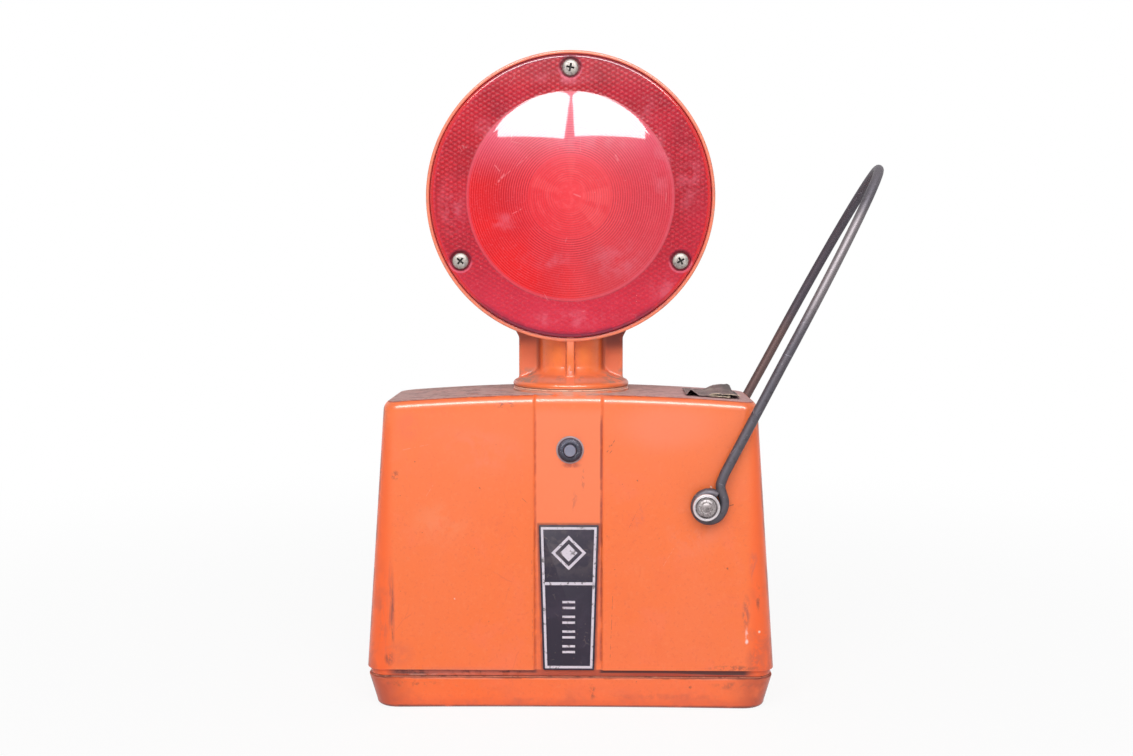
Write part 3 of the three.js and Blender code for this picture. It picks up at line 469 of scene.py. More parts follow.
def flatten(first, second):
    """A place with only these two parts."""
    return put(first.id_data, "ShaderNodeCombineXYZ", {0: first, 1: second}).outputs[0]


def product(*values):
    result = values[0]
    for value in values[1:]:
        result = calculate("MULTIPLY", result, value)
    return result


def apart(value, at):
    """How far a value is from a place in millimetres, either way."""
    return calculate("ABSOLUTE", calculate("SUBTRACT", value, at * MM))


def ramp(value, low, high):
    """0 below low and 1 above high. With low above high it falls instead."""
    return put(value.id_data, "ShaderNodeMapRange", {"Value": value, "From Min": low, "From Max": high},
               interpolation_type="SMOOTHSTEP").outputs["Result"]


def blend_colour(mask, below, above):
    return put(mask.id_data, "ShaderNodeMix", {0: mask, 6: below, 7: above}, data_type="RGBA").outputs[2]


def blend_value(mask, below, above):
    return put(mask.id_data, "ShaderNodeMix", {0: mask, 2: below, 3: above}, data_type="FLOAT").outputs[0]


def normal_parts(tree):
    return split(put(tree, "ShaderNodeNewGeometry").outputs["Normal"])


def linear(level):
    """The shader's linear value of a level that shows on screen, from 0 to 255."""
    share = level / 255
    return share / 12.92 if share <= 0.04045 else ((share + 0.055) / 1.055) ** 2.4


def rgb(colour):
    """A colour for the shader, from one written as it shows on screen. One with four values is ready."""
    return colour if len(colour) == 4 else (*map(linear, colour), 1.0)


def noise_at(place, scale, detail=3.0, roughness=0.55, distortion=0.0):
    return put(place.id_data, "ShaderNodeTexNoise", {"Vector": place, "Scale": scale, "Detail": detail,
                                                     "Roughness": roughness, "Distortion": distortion}).outputs["Fac"]


# Effects. Each is a shader node group that several materials use


def effect(name, output="Mask", **inputs):
    """Makes a node group of the function below it. Its inputs are the place and then these, with their defaults."""
    def build(draw):
        tree = bpy.data.node_groups.new(name, "ShaderNodeTree")
        for label, default in {"Place": None, **inputs}.items():
            kind = "NodeSocketFloat" if isinstance(default, float) else "NodeSocketVector"
            socket = tree.interface.new_socket(label.replace("_", " "), in_out="INPUT", socket_type=kind)
            if default is not None:
                socket.default_value = default
        tree.interface.new_socket(output, in_out="OUTPUT", socket_type="NodeSocketFloat")
        given = tree.nodes.new("NodeGroupInput").outputs
        result = draw(*list(given)[: len(inputs) + 1])
        tree.links.new(result, tree.nodes.new("NodeGroupOutput").inputs[output])
        return tree

    return build


@effect("settled dust", Amount=1.0, Lean=0.9, Patch_Scale=30.0)
def settled_dust(place, amount, lean, patch_scale):
    """Dust that lies on what faces up, thicker in some places."""
    upward = ramp(normal_parts(place.id_data)["Z"], lean, calculate("ADD", lean, 0.06))
    patches = ramp(noise_at(place, patch_scale, 6, 0.65), 0.25, 0.7)
    return product(upward, calculate("MULTIPLY_ADD", patches, 0.14, 0.84), amount)


@effect("edge wear", Reach=0.001, Patch_Scale=90.0)
def edge_wear(place, reach, patch_scale):
    """Rubbed edges, found from how far a rounded normal leans from the real one."""
    rounded = put(place.id_data, "ShaderNodeBevel", {"Radius": reach}, samples=4).outputs["Normal"]
    straight = put(place.id_data, "ShaderNodeNewGeometry").outputs["Normal"]
    edge = ramp(vector("DOT_PRODUCT", rounded, straight), 0.995, 0.93)
    return product(edge, ramp(noise_at(place, patch_scale, 5, 0.7), 0.4, 0.62))


@effect("stains", Scale=20.0, Coverage=0.55, Softness=0.15)
def stains(place, scale, coverage, softness):
    """Soft uneven patches. Coverage is the noise level above which a patch shows."""
    return ramp(noise_at(place, scale, 6, 0.6, 0.4), coverage, calculate("ADD", coverage, softness))


@effect("specks", Scale=120.0, Size=0.18, Share=0.2)
def specks(place, scale, size, share):
    """Small round specks, kept in only a share of the cells."""
    tree = place.id_data
    cells = put(tree, "ShaderNodeTexVoronoi", {"Vector": place, "Scale": scale})
    tone = put(tree, "ShaderNodeSeparateColor", {0: cells.outputs["Color"]}).outputs[0]
    wobble = noise_at(place, calculate("MULTIPLY", scale, 6.0), 2)
    reach = calculate("MULTIPLY", size, calculate("ADD", wobble, 0.3))
    near = ramp(cells.outputs["Distance"], reach, calculate("MULTIPLY", reach, 0.5))
    return product(near, calculate("LESS_THAN", tone, share))


@effect("scratches", Scale=30.0, Width=0.01, Coverage=0.58)
def scratches(place, scale, width, coverage):
    """Fine broken lines along the borders of warped cells."""
    tree = place.id_data
    warp = put(tree, "ShaderNodeTexNoise", {"Vector": place, "Scale": 60.0, "Detail": 3.0}).outputs["Color"]
    bent = vector("ADD", place, vector("MULTIPLY", warp, (0.006, 0.006, 0.006)))
    borders = put(tree, "ShaderNodeTexVoronoi", {"Vector": bent, "Scale": scale}, feature="DISTANCE_TO_EDGE")
    broken = ramp(noise_at(place, calculate("MULTIPLY", scale, 1.7), 4), coverage, calculate("ADD", coverage, 0.06))
    return product(ramp(borders.outputs["Distance"], width, 0.0), broken)


@effect("moulded grain", output="Height", Fine_Scale=900.0, Wave_Scale=22.0, Wave_Share=0.7)
def moulded_grain(place, fine_scale, wave_scale, wave_share):
    """The faint unevenness of a moulded face, as a height."""
    return blend_value(wave_share, noise_at(place, fine_scale, 3), noise_at(place, wave_scale, 2))


@effect("mark", Start=None, End=None, Width=0.001, Breaks=0.5, Break_Scale=400.0)
def mark(place, start, end, width, breaks, break_scale):
    """A mark round the line between two places, broken up by noise."""
    along = vector("SUBTRACT", end, start)
    offset = vector("SUBTRACT", place, start)
    share = calculate("DIVIDE", vector("DOT_PRODUCT", offset, along), vector("DOT_PRODUCT", along, along))
    held = put(place.id_data, "ShaderNodeClamp", {"Value": share}).outputs[0]
    distance = vector("LENGTH", vector("SUBTRACT", offset, scaled(along, held)))
    wobble = noise_at(place, break_scale, 4, 0.65)
    near = ramp(distance, calculate("MULTIPLY", width, calculate("ADD", wobble, 0.4)), 0.0)
    return product(near, ramp(wobble, breaks, calculate("ADD", breaks, 0.08)))


@effect("smudge", Middle=None, Reach=(0.01, 0.01, 0.01), Stretch=(1.0, 1.0, 1.0), Scale=60.0, Coverage=0.45,
        Softness=0.2)
def smudge(place, middle, reach, stretching, scale, coverage, softness):
    """A soft stain round one place, broken up by noise."""
    near = ramp(vector("LENGTH", vector("DIVIDE", vector("SUBTRACT", place, middle), reach)), 1.0, 0.25)
    field = noise_at(vector("MULTIPLY", place, stretching), scale, 6, 0.65, 0.3)
    return product(near, ramp(field, coverage, calculate("ADD", coverage, softness)))


class Finish:
    """A material that is layered up from a base colour and base roughness.

    A mask is a socket or a tuple that says how to make one: an effect and its values, "noise" with its scale, the
    two levels between which it rises and its detail, or a value with the two places in millimetres between which it
    rises. The value is a socket or the name of an axis."""

    def __init__(self, name, colour, roughness, **shader_values):
        self.material = bpy.data.materials.new(name)
        self.material.use_nodes = True
        self.tree = self.material.node_tree
        self.shader = self.tree.nodes["Principled BSDF"]
        self.colour = rgb(colour)
        self.roughness = roughness
        self.height = None
        for label, value in shader_values.items():
            self.shader.inputs[label.replace("_", " ")].default_value = value
        self.place = put(self.tree, "ShaderNodeTexCoord").outputs["Object"]
        self.x, self.y, self.z = split(self.place)

    def effect(self, group, *values, place=None):
        inputs = dict(enumerate([place or self.place, *values]))
        return put(self.tree, "ShaderNodeGroup", inputs, node_tree=group).outputs[0]

    def noise(self, scale, detail=4.0):
        return noise_at(self.place, scale, detail)

    def from_lens_centre(self):
        moved = (0, 0, -HEAD["height"] * MM)
        return put(self.tree, "ShaderNodeMapping", {"Vector": self.place, "Location": moved}).outputs[0]

    def mask(self, what):
        if isinstance(what, bpy.types.NodeSocket):
            return what
        kind, *values = what
        if isinstance(kind, bpy.types.NodeTree):
            return self.effect(kind, *values)
        if kind == "noise":
            scale, low, high, *detail = values
            return ramp(self.noise(scale, *detail), low, high)
        value = getattr(self, kind) if isinstance(kind, str) else kind
        return ramp(value, *metres(values))

    def where(self, *masks):
        """The mask of the places that all of these cover."""
        return product(*map(self.mask, masks))

    def lay(self, colour, roughness, strength, *masks):
        """Lays a colour, and its roughness where one is given, over what is there."""
        mask = self.where(*masks)
        if strength != 1.0:
            mask = product(mask, strength)
        self.colour = blend_colour(mask, self.colour, rgb(colour))
        if roughness is not None:
            self.roughness = blend_value(mask, self.roughness, roughness)

    def smudge(self, middle, reach, colour, strength=1.0, scale=60.0, coverage=0.45, softness=0.2, stretch=1.0):
        """Lays a soft stain over what is there. Its middle and its reach are in millimetres."""
        self.lay(colour, None, strength,
                 (smudge, metres(middle), metres(reach), (1.0, 1.0, stretch), scale, coverage, softness))

    def gloss(self, weight, roughness, bare):
        """A thin glossy coat, kept only where the mask says the surface is bare."""
        self.shader.inputs["Coat Roughness"].default_value = roughness
        feed(self.shader.inputs["Coat Weight"], calculate("MULTIPLY", bare, weight))

    def raise_by(self, height, strength, distance):
        """Adds a bump on top of the bumps before it."""
        inputs = {"Height": height, "Strength": strength, "Distance": distance * MM}
        if self.height is not None:
            inputs["Normal"] = self.height
        self.height = put(self.tree, "ShaderNodeBump", inputs).outputs["Normal"]

    def done(self):
        feed(self.shader.inputs["Base Color"], self.colour)
        feed(self.shader.inputs["Roughness"], self.roughness)
        if self.height is not None:
            feed(self.shader.inputs["Normal"], self.height)
        return self.material


# Materials


def orange_plastic(name, dust_amount, colour=(253, 115, 44)):
    """Sun-faded orange moulding with dust on top, small specks and rubbed edges."""
    finish = Finish(name, colour, 0.42, Specular_IOR_Level=0.4)
    finish.lay((252, 120, 64), 0.44, 0.6, ("noise", 11.0, 0.35, 0.68, 3))
    finish.lay((253, 118, 74), 0.46, 0.4, (stains, 34.0, 0.5, 0.22))
    finish.lay((246, 106, 48), 0.48, 0.35, (stains, 62.0, 0.52, 0.2))
    finish.lay((255, 136, 78), 0.46, 0.24, (stains, 340.0, 0.5, 0.2))
    finish.lay((226, 92, 52), 0.5, 0.25, (stains, 520.0, 0.55, 0.12))
    finish.lay((150, 62, 40), 0.6, 0.55, (specks, 210.0, 0.11, 0.08))
    finish.lay((120, 50, 38), 0.6, 0.65, (specks, 60.0, 0.05, 0.1))
    finish.lay((214, 92, 60), 0.5, 0.3, (scratches, 24.0, 0.007, 0.6))
    finish.lay((255, 160, 126), 0.5, 0.5, (edge_wear, 1.1 * MM))
    # Dust on top: a brown border where it begins, then grey, then darker and paler blots in it
    upward = normal_parts(finish.tree)["Z"]
    border = finish.where(ramp(upward, 0.82, 0.9), ("noise", 150.0, 0.28, 0.55, 5))
    finish.lay((150, 66, 48), 0.6, 0.8 * dust_amount, border)
    dust = finish.where((settled_dust, dust_amount))
    finish.lay((200, 164, 160), 0.9, 1.0, dust)
    blots = finish.where(dust, (stains, 120.0, 0.47, 0.14))
    finish.lay((138, 104, 100), 0.9, 0.6, blots)
    finish.lay((214, 188, 184), 0.9, 0.4, dust, (stains, 420.0, 0.5, 0.1))
    finish.lay((196, 104, 76), 0.8, 0.45, dust, (stains, 60.0, 0.6, 0.08))
    finish.gloss(0.55, 0.16, calculate("SUBTRACT", 1.0, ramp(upward, 0.76, 0.9)))
    finish.raise_by(finish.effect(moulded_grain), 0.22, 0.25)
    return finish


def add_case_wear(finish):
    """The stains and scratches of the case's front, each at its own place."""
    front = -45.0
    smudges = [
        ((-112.4, front, 154.2), (3.4, 20, 4.0), (142, 66, 52), 0.7, 420.0, 0.42, 1.0),
        ((-115.5, front, 66.0), (3.2, 20, 40.0), (196, 88, 62), 0.75, 260.0, 0.38, 0.12),
        ((-121.0, front, 60.0), (5.0, 20, 46.0), (214, 92, 54), 0.6, 160.0, 0.42, 0.2),
        ((-114.6, front, 62.0), (1.4, 20, 26.0), (120, 58, 48), 0.7, 520.0, 0.44, 0.18),
        ((-117.0, front, 35.0), (4.2, 20, 6.0), (126, 58, 44), 0.75, 300.0, 0.42, 0.7),
        ((-112.0, front, 38.0), (15.0, 20, 12.0), (228, 100, 60), 0.5, 70.0, 0.38, 1.0),
        ((113.4, front, 66.0), (3.4, 20, 14.0), (178, 84, 70), 0.7, 380.0, 0.42, 0.4),
        ((121.0, front, 76.0), (2.2, 20, 12.0), (120, 52, 42), 0.7, 340.0, 0.46, 0.4),
        ((118.0, front, 96.0), (4.0, 20, 14.0), (214, 96, 74), 0.5, 300.0, 0.46, 0.4),
        ((114.0, front, 52.0), (1.6, 20, 6.0), (255, 206, 196), 0.7, 620.0, 0.42, 0.4),
        ((113.9, front, 47.0), (1.5, 20, 2.2), (255, 220, 212), 0.95, 500.0, 0.3, 1.0),
        ((122.0, front, 53.4), (1.1, 20, 1.2), (255, 226, 208), 0.95, 500.0, 0.3, 1.0),
        ((120.0, front, 36.0), (9.0, 20, 9.0), (196, 88, 60), 0.6, 170.0, 0.4, 0.6),
        ((106.0, front, 29.5), (22.0, 20, 2.4), (150, 74, 54), 0.7, 300.0, 0.42, 1.0),
        ((8.6, front, 152.0), (2.0, 20, 10.0), (176, 84, 64), 0.6, 520.0, 0.47, 0.5),
        ((3.0, front, 137.0), (3.0, 20, 9.0), (196, 92, 68), 0.5, 460.0, 0.48, 0.5),
        ((25.6, front, 173.4), (3.0, 20, 4.2), (160, 74, 54), 0.5, 560.0, 0.5, 1.0),
        ((-42.0, -42.0, 200.0), (9.0, 12, 3.2), (150, 70, 56), 0.7, 420.0, 0.44, 1.0),
        ((44.0, front, 128.0), (5.0, 20, 9.0), (236, 108, 74), 0.6, 300.0, 0.45, 1.0),
        ((-84.0, front, 124.0), (24.0, 20, 18.0), (252, 136, 84), 0.5, 50.0, 0.4, 1.0),
        ((62.0, front, 186.0), (44.0, 20, 22.0), (253, 134, 96), 0.5, 26.0, 0.2, 1.0),
        ((80.0, front, 120.0), (24.0, 20, 26.0), (252, 132, 90), 0.45, 60.0, 0.38, 1.0),
        ((-60.0, front, 170.0), (40.0, 20, 20.0), (253, 130, 92), 0.4, 40.0, 0.4, 1.0),
        ((-104.0, front, 186.0), (12.0, 20, 14.0), (244, 108, 66), 0.45, 90.0, 0.4, 1.0),
        ((0.0, front, 32.0), (24.0, 20, 5.0), (206, 96, 66), 0.6, 120.0, 0.35, 1.0),
        ((-70.0, front, 26.0), (70.0, 20, 5.0), (224, 112, 88), 0.5, 90.0, 0.4, 1.0),
    ]
    for middle, reach, colour, strength, scale, coverage, stretch in smudges:
        finish.smudge(middle, reach, colour, strength, scale, coverage, 0.16, stretch)
    lines = [
        ((8.9, 158.0), (7.0, 146.0), 0.6, 0.47, (142, 62, 48), 0.7),
        ((7.0, 146.0), (0.5, 130.0), 0.5, 0.5, (158, 70, 52), 0.65),
        ((23.7, 169.6), (28.8, 177.3), 0.55, 0.44, (120, 54, 42), 0.8),
        ((24.4, 167.6), (27.0, 170.6), 0.4, 0.44, (120, 54, 42), 0.7),
        ((100.4, 134.6), (104.6, 135.8), 0.5, 0.3, (110, 44, 34), 0.9),
        ((90.2, 147.4), (90.6, 147.0), 0.8, 0.3, (248, 224, 206), 0.95),
        ((-111.0, 169.9), (-89.8, 174.4), 0.4, 0.46, (255, 160, 130), 0.5),
        ((43.0, 151.4), (43.4, 151.0), 0.6, 0.3, (102, 48, 38), 0.8),
        ((-58.2, 146.4), (-57.8, 146.0), 0.6, 0.34, (150, 68, 46), 0.8),
        ((-30.6, 139.4), (-27.4, 136.6), 0.4, 0.4, (190, 84, 56), 0.8),
        ((-74.6, 74.5), (-74.3, 74.1), 0.6, 0.3, (255, 214, 196), 0.95),
        ((101.1, 94.7), (101.4, 94.3), 0.7, 0.3, (96, 42, 32), 0.9),
        ((27.7, 80.4), (25.9, 34.7), 0.3, 0.44, (176, 78, 50), 0.7),
        ((44.9, 135.5), (37.3, 119.3), 0.35, 0.5, (206, 90, 62), 0.7),
        ((-24.6, 100.0), (-24.0, 30.0), 0.5, 0.5, (196, 84, 54), 0.5),
        ((-93.0, 140.0), (-88.0, 148.0), 0.3, 0.46, (255, 164, 132), 0.5),
        ((60.0, 96.0), (67.0, 108.0), 0.3, 0.48, (255, 158, 128), 0.5),
    ]
    facing = finish.where(("y", 20, -20))
    for (x0, z0), (x1, z1), width, breaks, colour, strength in lines:
        ends = metres((x0, -half_depth_at(z0), z0)), metres((x1, -half_depth_at(z1), z1))
        mask = finish.effect(mark, *ends, width * MM, breaks)
        finish.lay(colour, None, strength, mask, facing)


def case_material():
    finish = orange_plastic("case orange", 1.0)
    side = calculate("ABSOLUTE", finish.x)
    from_strip = apart(finish.x, CASE["strip_centre"])
    depth = calculate("ABSOLUTE", finish.y)
    half_strip = CASE["strip_width"] / 2
    below_top = finish.where(("z", 200, 192))
    # Paler towards the top and on the centre strip
    finish.lay((253, 122, 66), None, 0.45, ("z", 110, 190), below_top)
    strip = finish.where((from_strip, half_strip + 1, half_strip - 0.8), ("z", 60, 130), (depth, 30, 36), below_top)
    finish.lay((253, 129, 80), 0.5, 0.65, strip)
    # Painted shade in the steps beside the strip, darkest in the right one, and darker orange low on the strip beside
    # the plate
    step = apart(from_strip, 21.2)
    recess_shade = finish.where((step, 1.3, 0.1), ("noise", 70, 0.3, 0.6), below_top)
    finish.lay((196, 76, 42), 0.6, 0.65, recess_shade)
    finish.lay((150, 58, 38), 0.6, 0.7, recess_shade, ("x", 0.0, 10))
    lower = finish.where((from_strip, 23, 18), ("z", 124, 110))
    finish.lay((206, 88, 56), 0.6, 0.5, lower, ("noise", 90, 0.3, 0.6), ("y", 0.0, -9))
    # Painted shadow in a dark line round the plate
    from_plate = apart(finish.x, PLATE["centre"])
    slope = (PLATE["top_width"] - PLATE["bottom_width"]) / 2 / (PLATE["top"] - PLATE["bottom"])
    plate_side = calculate("MULTIPLY_ADD", finish.z, slope,
                           (PLATE["bottom_width"] / 2 - slope * PLATE["bottom"]) * MM)
    beside = calculate("SUBTRACT", from_plate, plate_side)
    shade = finish.where((beside, 1.9, 0.4), ("z", 124, 122.4), ("noise", 80, 0.22, 0.5), ("y", -30, -36))
    finish.lay((146, 54, 34), 0.7, 0.7, shade)
    # Dusty band under the panels, with a painted shadow in a dark line close under them and a thin one at the seam
    band = finish.where(("z", 28.1, 27.3))
    finish.lay((174, 60, 24), 0.7, 0.9, band)
    ends = finish.where((side, 60, 100))
    finish.lay((196, 150, 134), 0.8, 0.6, band, ends, (stains, 120.0, 0.42, 0.2))
    right = finish.where(("x", 20, 50))
    finish.lay((168, 44, 10), 0.7, 0.8, band, right)
    deep = calculate("MULTIPLY_ADD", ends, -1.0 * MM, 25.35 * MM)
    line = ramp(finish.z, deep, calculate("ADD", deep, 0.5 * MM))
    under = finish.where(line, band, (from_strip, 19, 22))
    finish.lay((76, 20, 14), 0.8, 0.95, under)
    rim_dirt = finish.where(("z", 24.2, 23.5), ("noise", 90, 0.4, 0.62))
    finish.lay((170, 96, 76), 0.8, 0.6, rim_dirt)
    # Deeper orange round the corners, with dirt low on them
    corner = finish.where((side, 112, 121))
    finish.lay((255, 98, 10), None, 0.9, corner, ("z", 196, 180))
    low = finish.where(("z", 120, 40))
    finish.lay((206, 88, 56), 0.6, 0.55, corner, (stains, 60.0, 0.46, 0.2), low)
    # Painted shadow under the button, and darker patches where the case rounds into its ends
    finish.smudge((0.8, -42.0, BUTTON["height"] - 10.0), (8.0, 8, 2.6), (176, 66, 44), 0.7, 300.0, 0.3)
    turned_out = calculate("ABSOLUTE", normal_parts(finish.tree)["X"])
    rounding_dark = finish.where(ramp(turned_out, 0.8, 0.92), ramp(turned_out, 0.997, 0.985), ("noise", 46.0, 0.4, 0.62, 6))
    finish.lay((132, 66, 46), 0.7, 0.7, rounding_dark)
    flat_side = finish.where(ramp(turned_out, 0.985, 0.997), (stains, 26.0, 0.46, 0.3))
    finish.lay((226, 98, 54), 0.6, 0.45, flat_side)
    add_case_wear(finish)
    finish.lay((232, 180, 182), 0.9, 0.35, (settled_dust,), ("x", 30, 80))
    # Ring of dirt on the top round the neck's flange
    flat = flatten(finish.x, finish.y)
    radius = vector("LENGTH", flat)
    near_neck = finish.where((radius, 50, 39), ("z", 203, 206))
    finish.lay((206, 166, 150), 0.9, 0.6, near_neck, ("noise", 120, 0.3, 0.6))
    return finish.done()


def tray_material():
    finish = orange_plastic("tray orange", 0.9, (255, 110, 34))
    low = finish.where(("z", 10, 1))
    finish.lay((226, 88, 34), None, 0.6, low)
    finish.lay((206, 88, 56), 0.65, 0.5, (stains, 38.0, 0.45, 0.22), ("z", 21, 3))
    side = calculate("ABSOLUTE", finish.x)
    finish.lay((176, 62, 28), 0.6, 0.8, (side, 98, 126), ("noise", 34, 0.3, 0.55))
    finish.lay((150, 74, 54), 0.7, 0.6, ("z", 20.9, 21.8), ("noise", 75, 0.44, 0.6))
    finish.lay((104, 38, 24), 0.7, 0.85, ("z", 3.4, 1.2), ("noise", 60, 0.2, 0.45))
    turned_out = calculate("ABSOLUTE", normal_parts(finish.tree)["X"])
    finish.lay((124, 58, 40), 0.7, 0.75, ramp(turned_out, 0.76, 0.88), ramp(turned_out, 0.965, 0.94),
               ("noise", 46.0, 0.38, 0.6, 6))
    lip = finish.where(("z", 20.6, 21.4), ("noise", 40, 0.6, 0.4))
    finish.lay((250, 150, 120), 0.6, 0.45, lip)
    smudges = [
        ((14.5, -42.0, 12.0), (3.4, 12, 7.0), (160, 68, 44), 0.75, 340.0, 0.42),
        ((-104.0, -42.0, 18.0), (24.0, 12, 3.4), (130, 62, 44), 0.7, 200.0, 0.46),
        ((108.0, -42.0, 17.0), (20.0, 12, 4.0), (160, 74, 52), 0.65, 160.0, 0.42),
        ((62.0, -42.0, 9.0), (46.0, 12, 3.0), (216, 94, 58), 0.55, 120.0, 0.42),
        ((-30.0, -42.0, 5.0), (60.0, 12, 4.0), (214, 92, 54), 0.55, 80.0, 0.4),
        ((78.0, -42.0, 16.0), (1.4, 12, 1.4), (130, 58, 40), 0.9, 700.0, 0.34),
    ]
    for values in smudges:
        finish.smudge(*values)
    return finish.done()


def head_material():
    finish = orange_plastic("head orange", 0.75)
    rim = finish.where(("y", -27.5, -29.3))
    finish.lay((250, 138, 104), 0.45, 0.75, rim)
    finish.lay((214, 112, 92), 0.6, 0.55, rim, (stains, 70.0, 0.48, 0.2))
    finish.lay((190, 150, 132), 0.6, 0.5, rim, (stains, 300.0, 0.56, 0.1))
    radius = vector("LENGTH", vector("MULTIPLY", finish.from_lens_centre(), (1, 0, 1)))
    # Painted shade just inside the rim's opening, next to the lens
    inside = finish.where((radius, 91.3, 90.9), ("y", -24, -28))
    finish.lay((196, 52, 40), 0.6, 0.85, inside)
    # Painted shade on the underside round the neck
    under = finish.where(("z", 262, 248), ("y", -29, -24))
    finish.lay((190, 84, 56), 0.6, 0.5, under)
    return finish.done()


def neck_material():
    finish = orange_plastic("neck orange", 0.9, (255, 126, 38))
    side = calculate("ABSOLUTE", finish.x)
    web = finish.where((side, 21.6, 23.4))
    finish.lay((255, 130, 82), 0.5, 0.85, web, ("z", 213, 217))
    # Painted shade under the head: a thin line over the neck, a deep patch over each web, deepest on the right
    patchy = calculate("MULTIPLY_ADD", finish.where(("noise", 90, 0.28, 0.55)), 0.5, 0.5)
    thin = finish.where(("z", 237, 243))
    deep = finish.where(("z", 232, 242), (side, 17, 24))
    finish.lay((170, 70, 30), 0.6, 0.5, thin, patchy)
    finish.lay((150, 52, 30), 0.6, 0.75, deep, patchy)
    darker = finish.where(("z", 228, 238), ("x", 20, 25), patchy)
    finish.lay((112, 24, 10), 0.6, 0.75, darker)
    # Painted shade in the corners between the neck and its webs, and dark dotted lines beside the rib
    corner = apart(side, 21.4)
    finish.lay((160, 66, 44), 0.6, 0.7, (corner, 2.4, 0.3), ("z", 217, 222))
    rib = apart(side, 2.8)
    forward = finish.where(("y", -17, -20))
    finish.lay((160, 52, 26), 0.7, 0.7, (rib, 0.7, 0.1), forward, ("z", 213, 216), ("noise", 160, 0.3, 0.55))
    # Painted light on the neck's front either side of the rib
    lit = finish.where((side, 4, 7), (side, 18, 12), forward, ("z", 220, 228), ("z", 240, 234))
    finish.lay((255, 130, 36), 0.4, 0.6, lit)
    face = finish.where(("y", -28.4, -29.4), (side, 2.8, 2.2))
    finish.lay((253, 140, 104), 0.45, 0.8, face)
    finish.smudge((0.0, -29.0, 220.0), (2.6, 6, 5.0), (250, 206, 200), 0.85, 600.0, 0.42)
    finish.smudge((0.4, -28.0, 214.6), (2.4, 6, 2.6), (240, 92, 40), 0.8, 300.0, 0.3)
    # Dust on the flare: faint pink in front, grey at both ends and beside the rib
    flare = finish.where(("z", 211.4, 212.8), ("z", 222, 216))
    finish.lay((252, 130, 84), 0.6, 0.7, flare)
    ends = finish.where(flare, (side, 18, 27))
    finish.lay((168, 138, 122), 0.85, 0.85, ends, (stains, 150.0, 0.38, 0.2))
    finish.smudge((-6.0, -26.0, 214.6), (5.0, 10, 3.2), (160, 120, 110), 0.7, 300.0, 0.42)
    finish.smudge((6.0, -26.0, 214.6), (5.0, 10, 3.2), (176, 128, 116), 0.6, 300.0, 0.42)
    # Bright flange edge with a dusty foot, greyer towards its ends
    clean = finish.where(("z", 212.8, 211.8), (side, 38, 30))
    finish.lay((255, 112, 40), 0.35, 0.75, clean)
    finish.lay((246, 176, 136), 0.8, 0.8, ("z", 210.2, 209.4))
    finish.lay((212, 130, 116), 0.8, 0.7, (side, 32, 37.5), ("z", 216, 213))
    return finish.done()


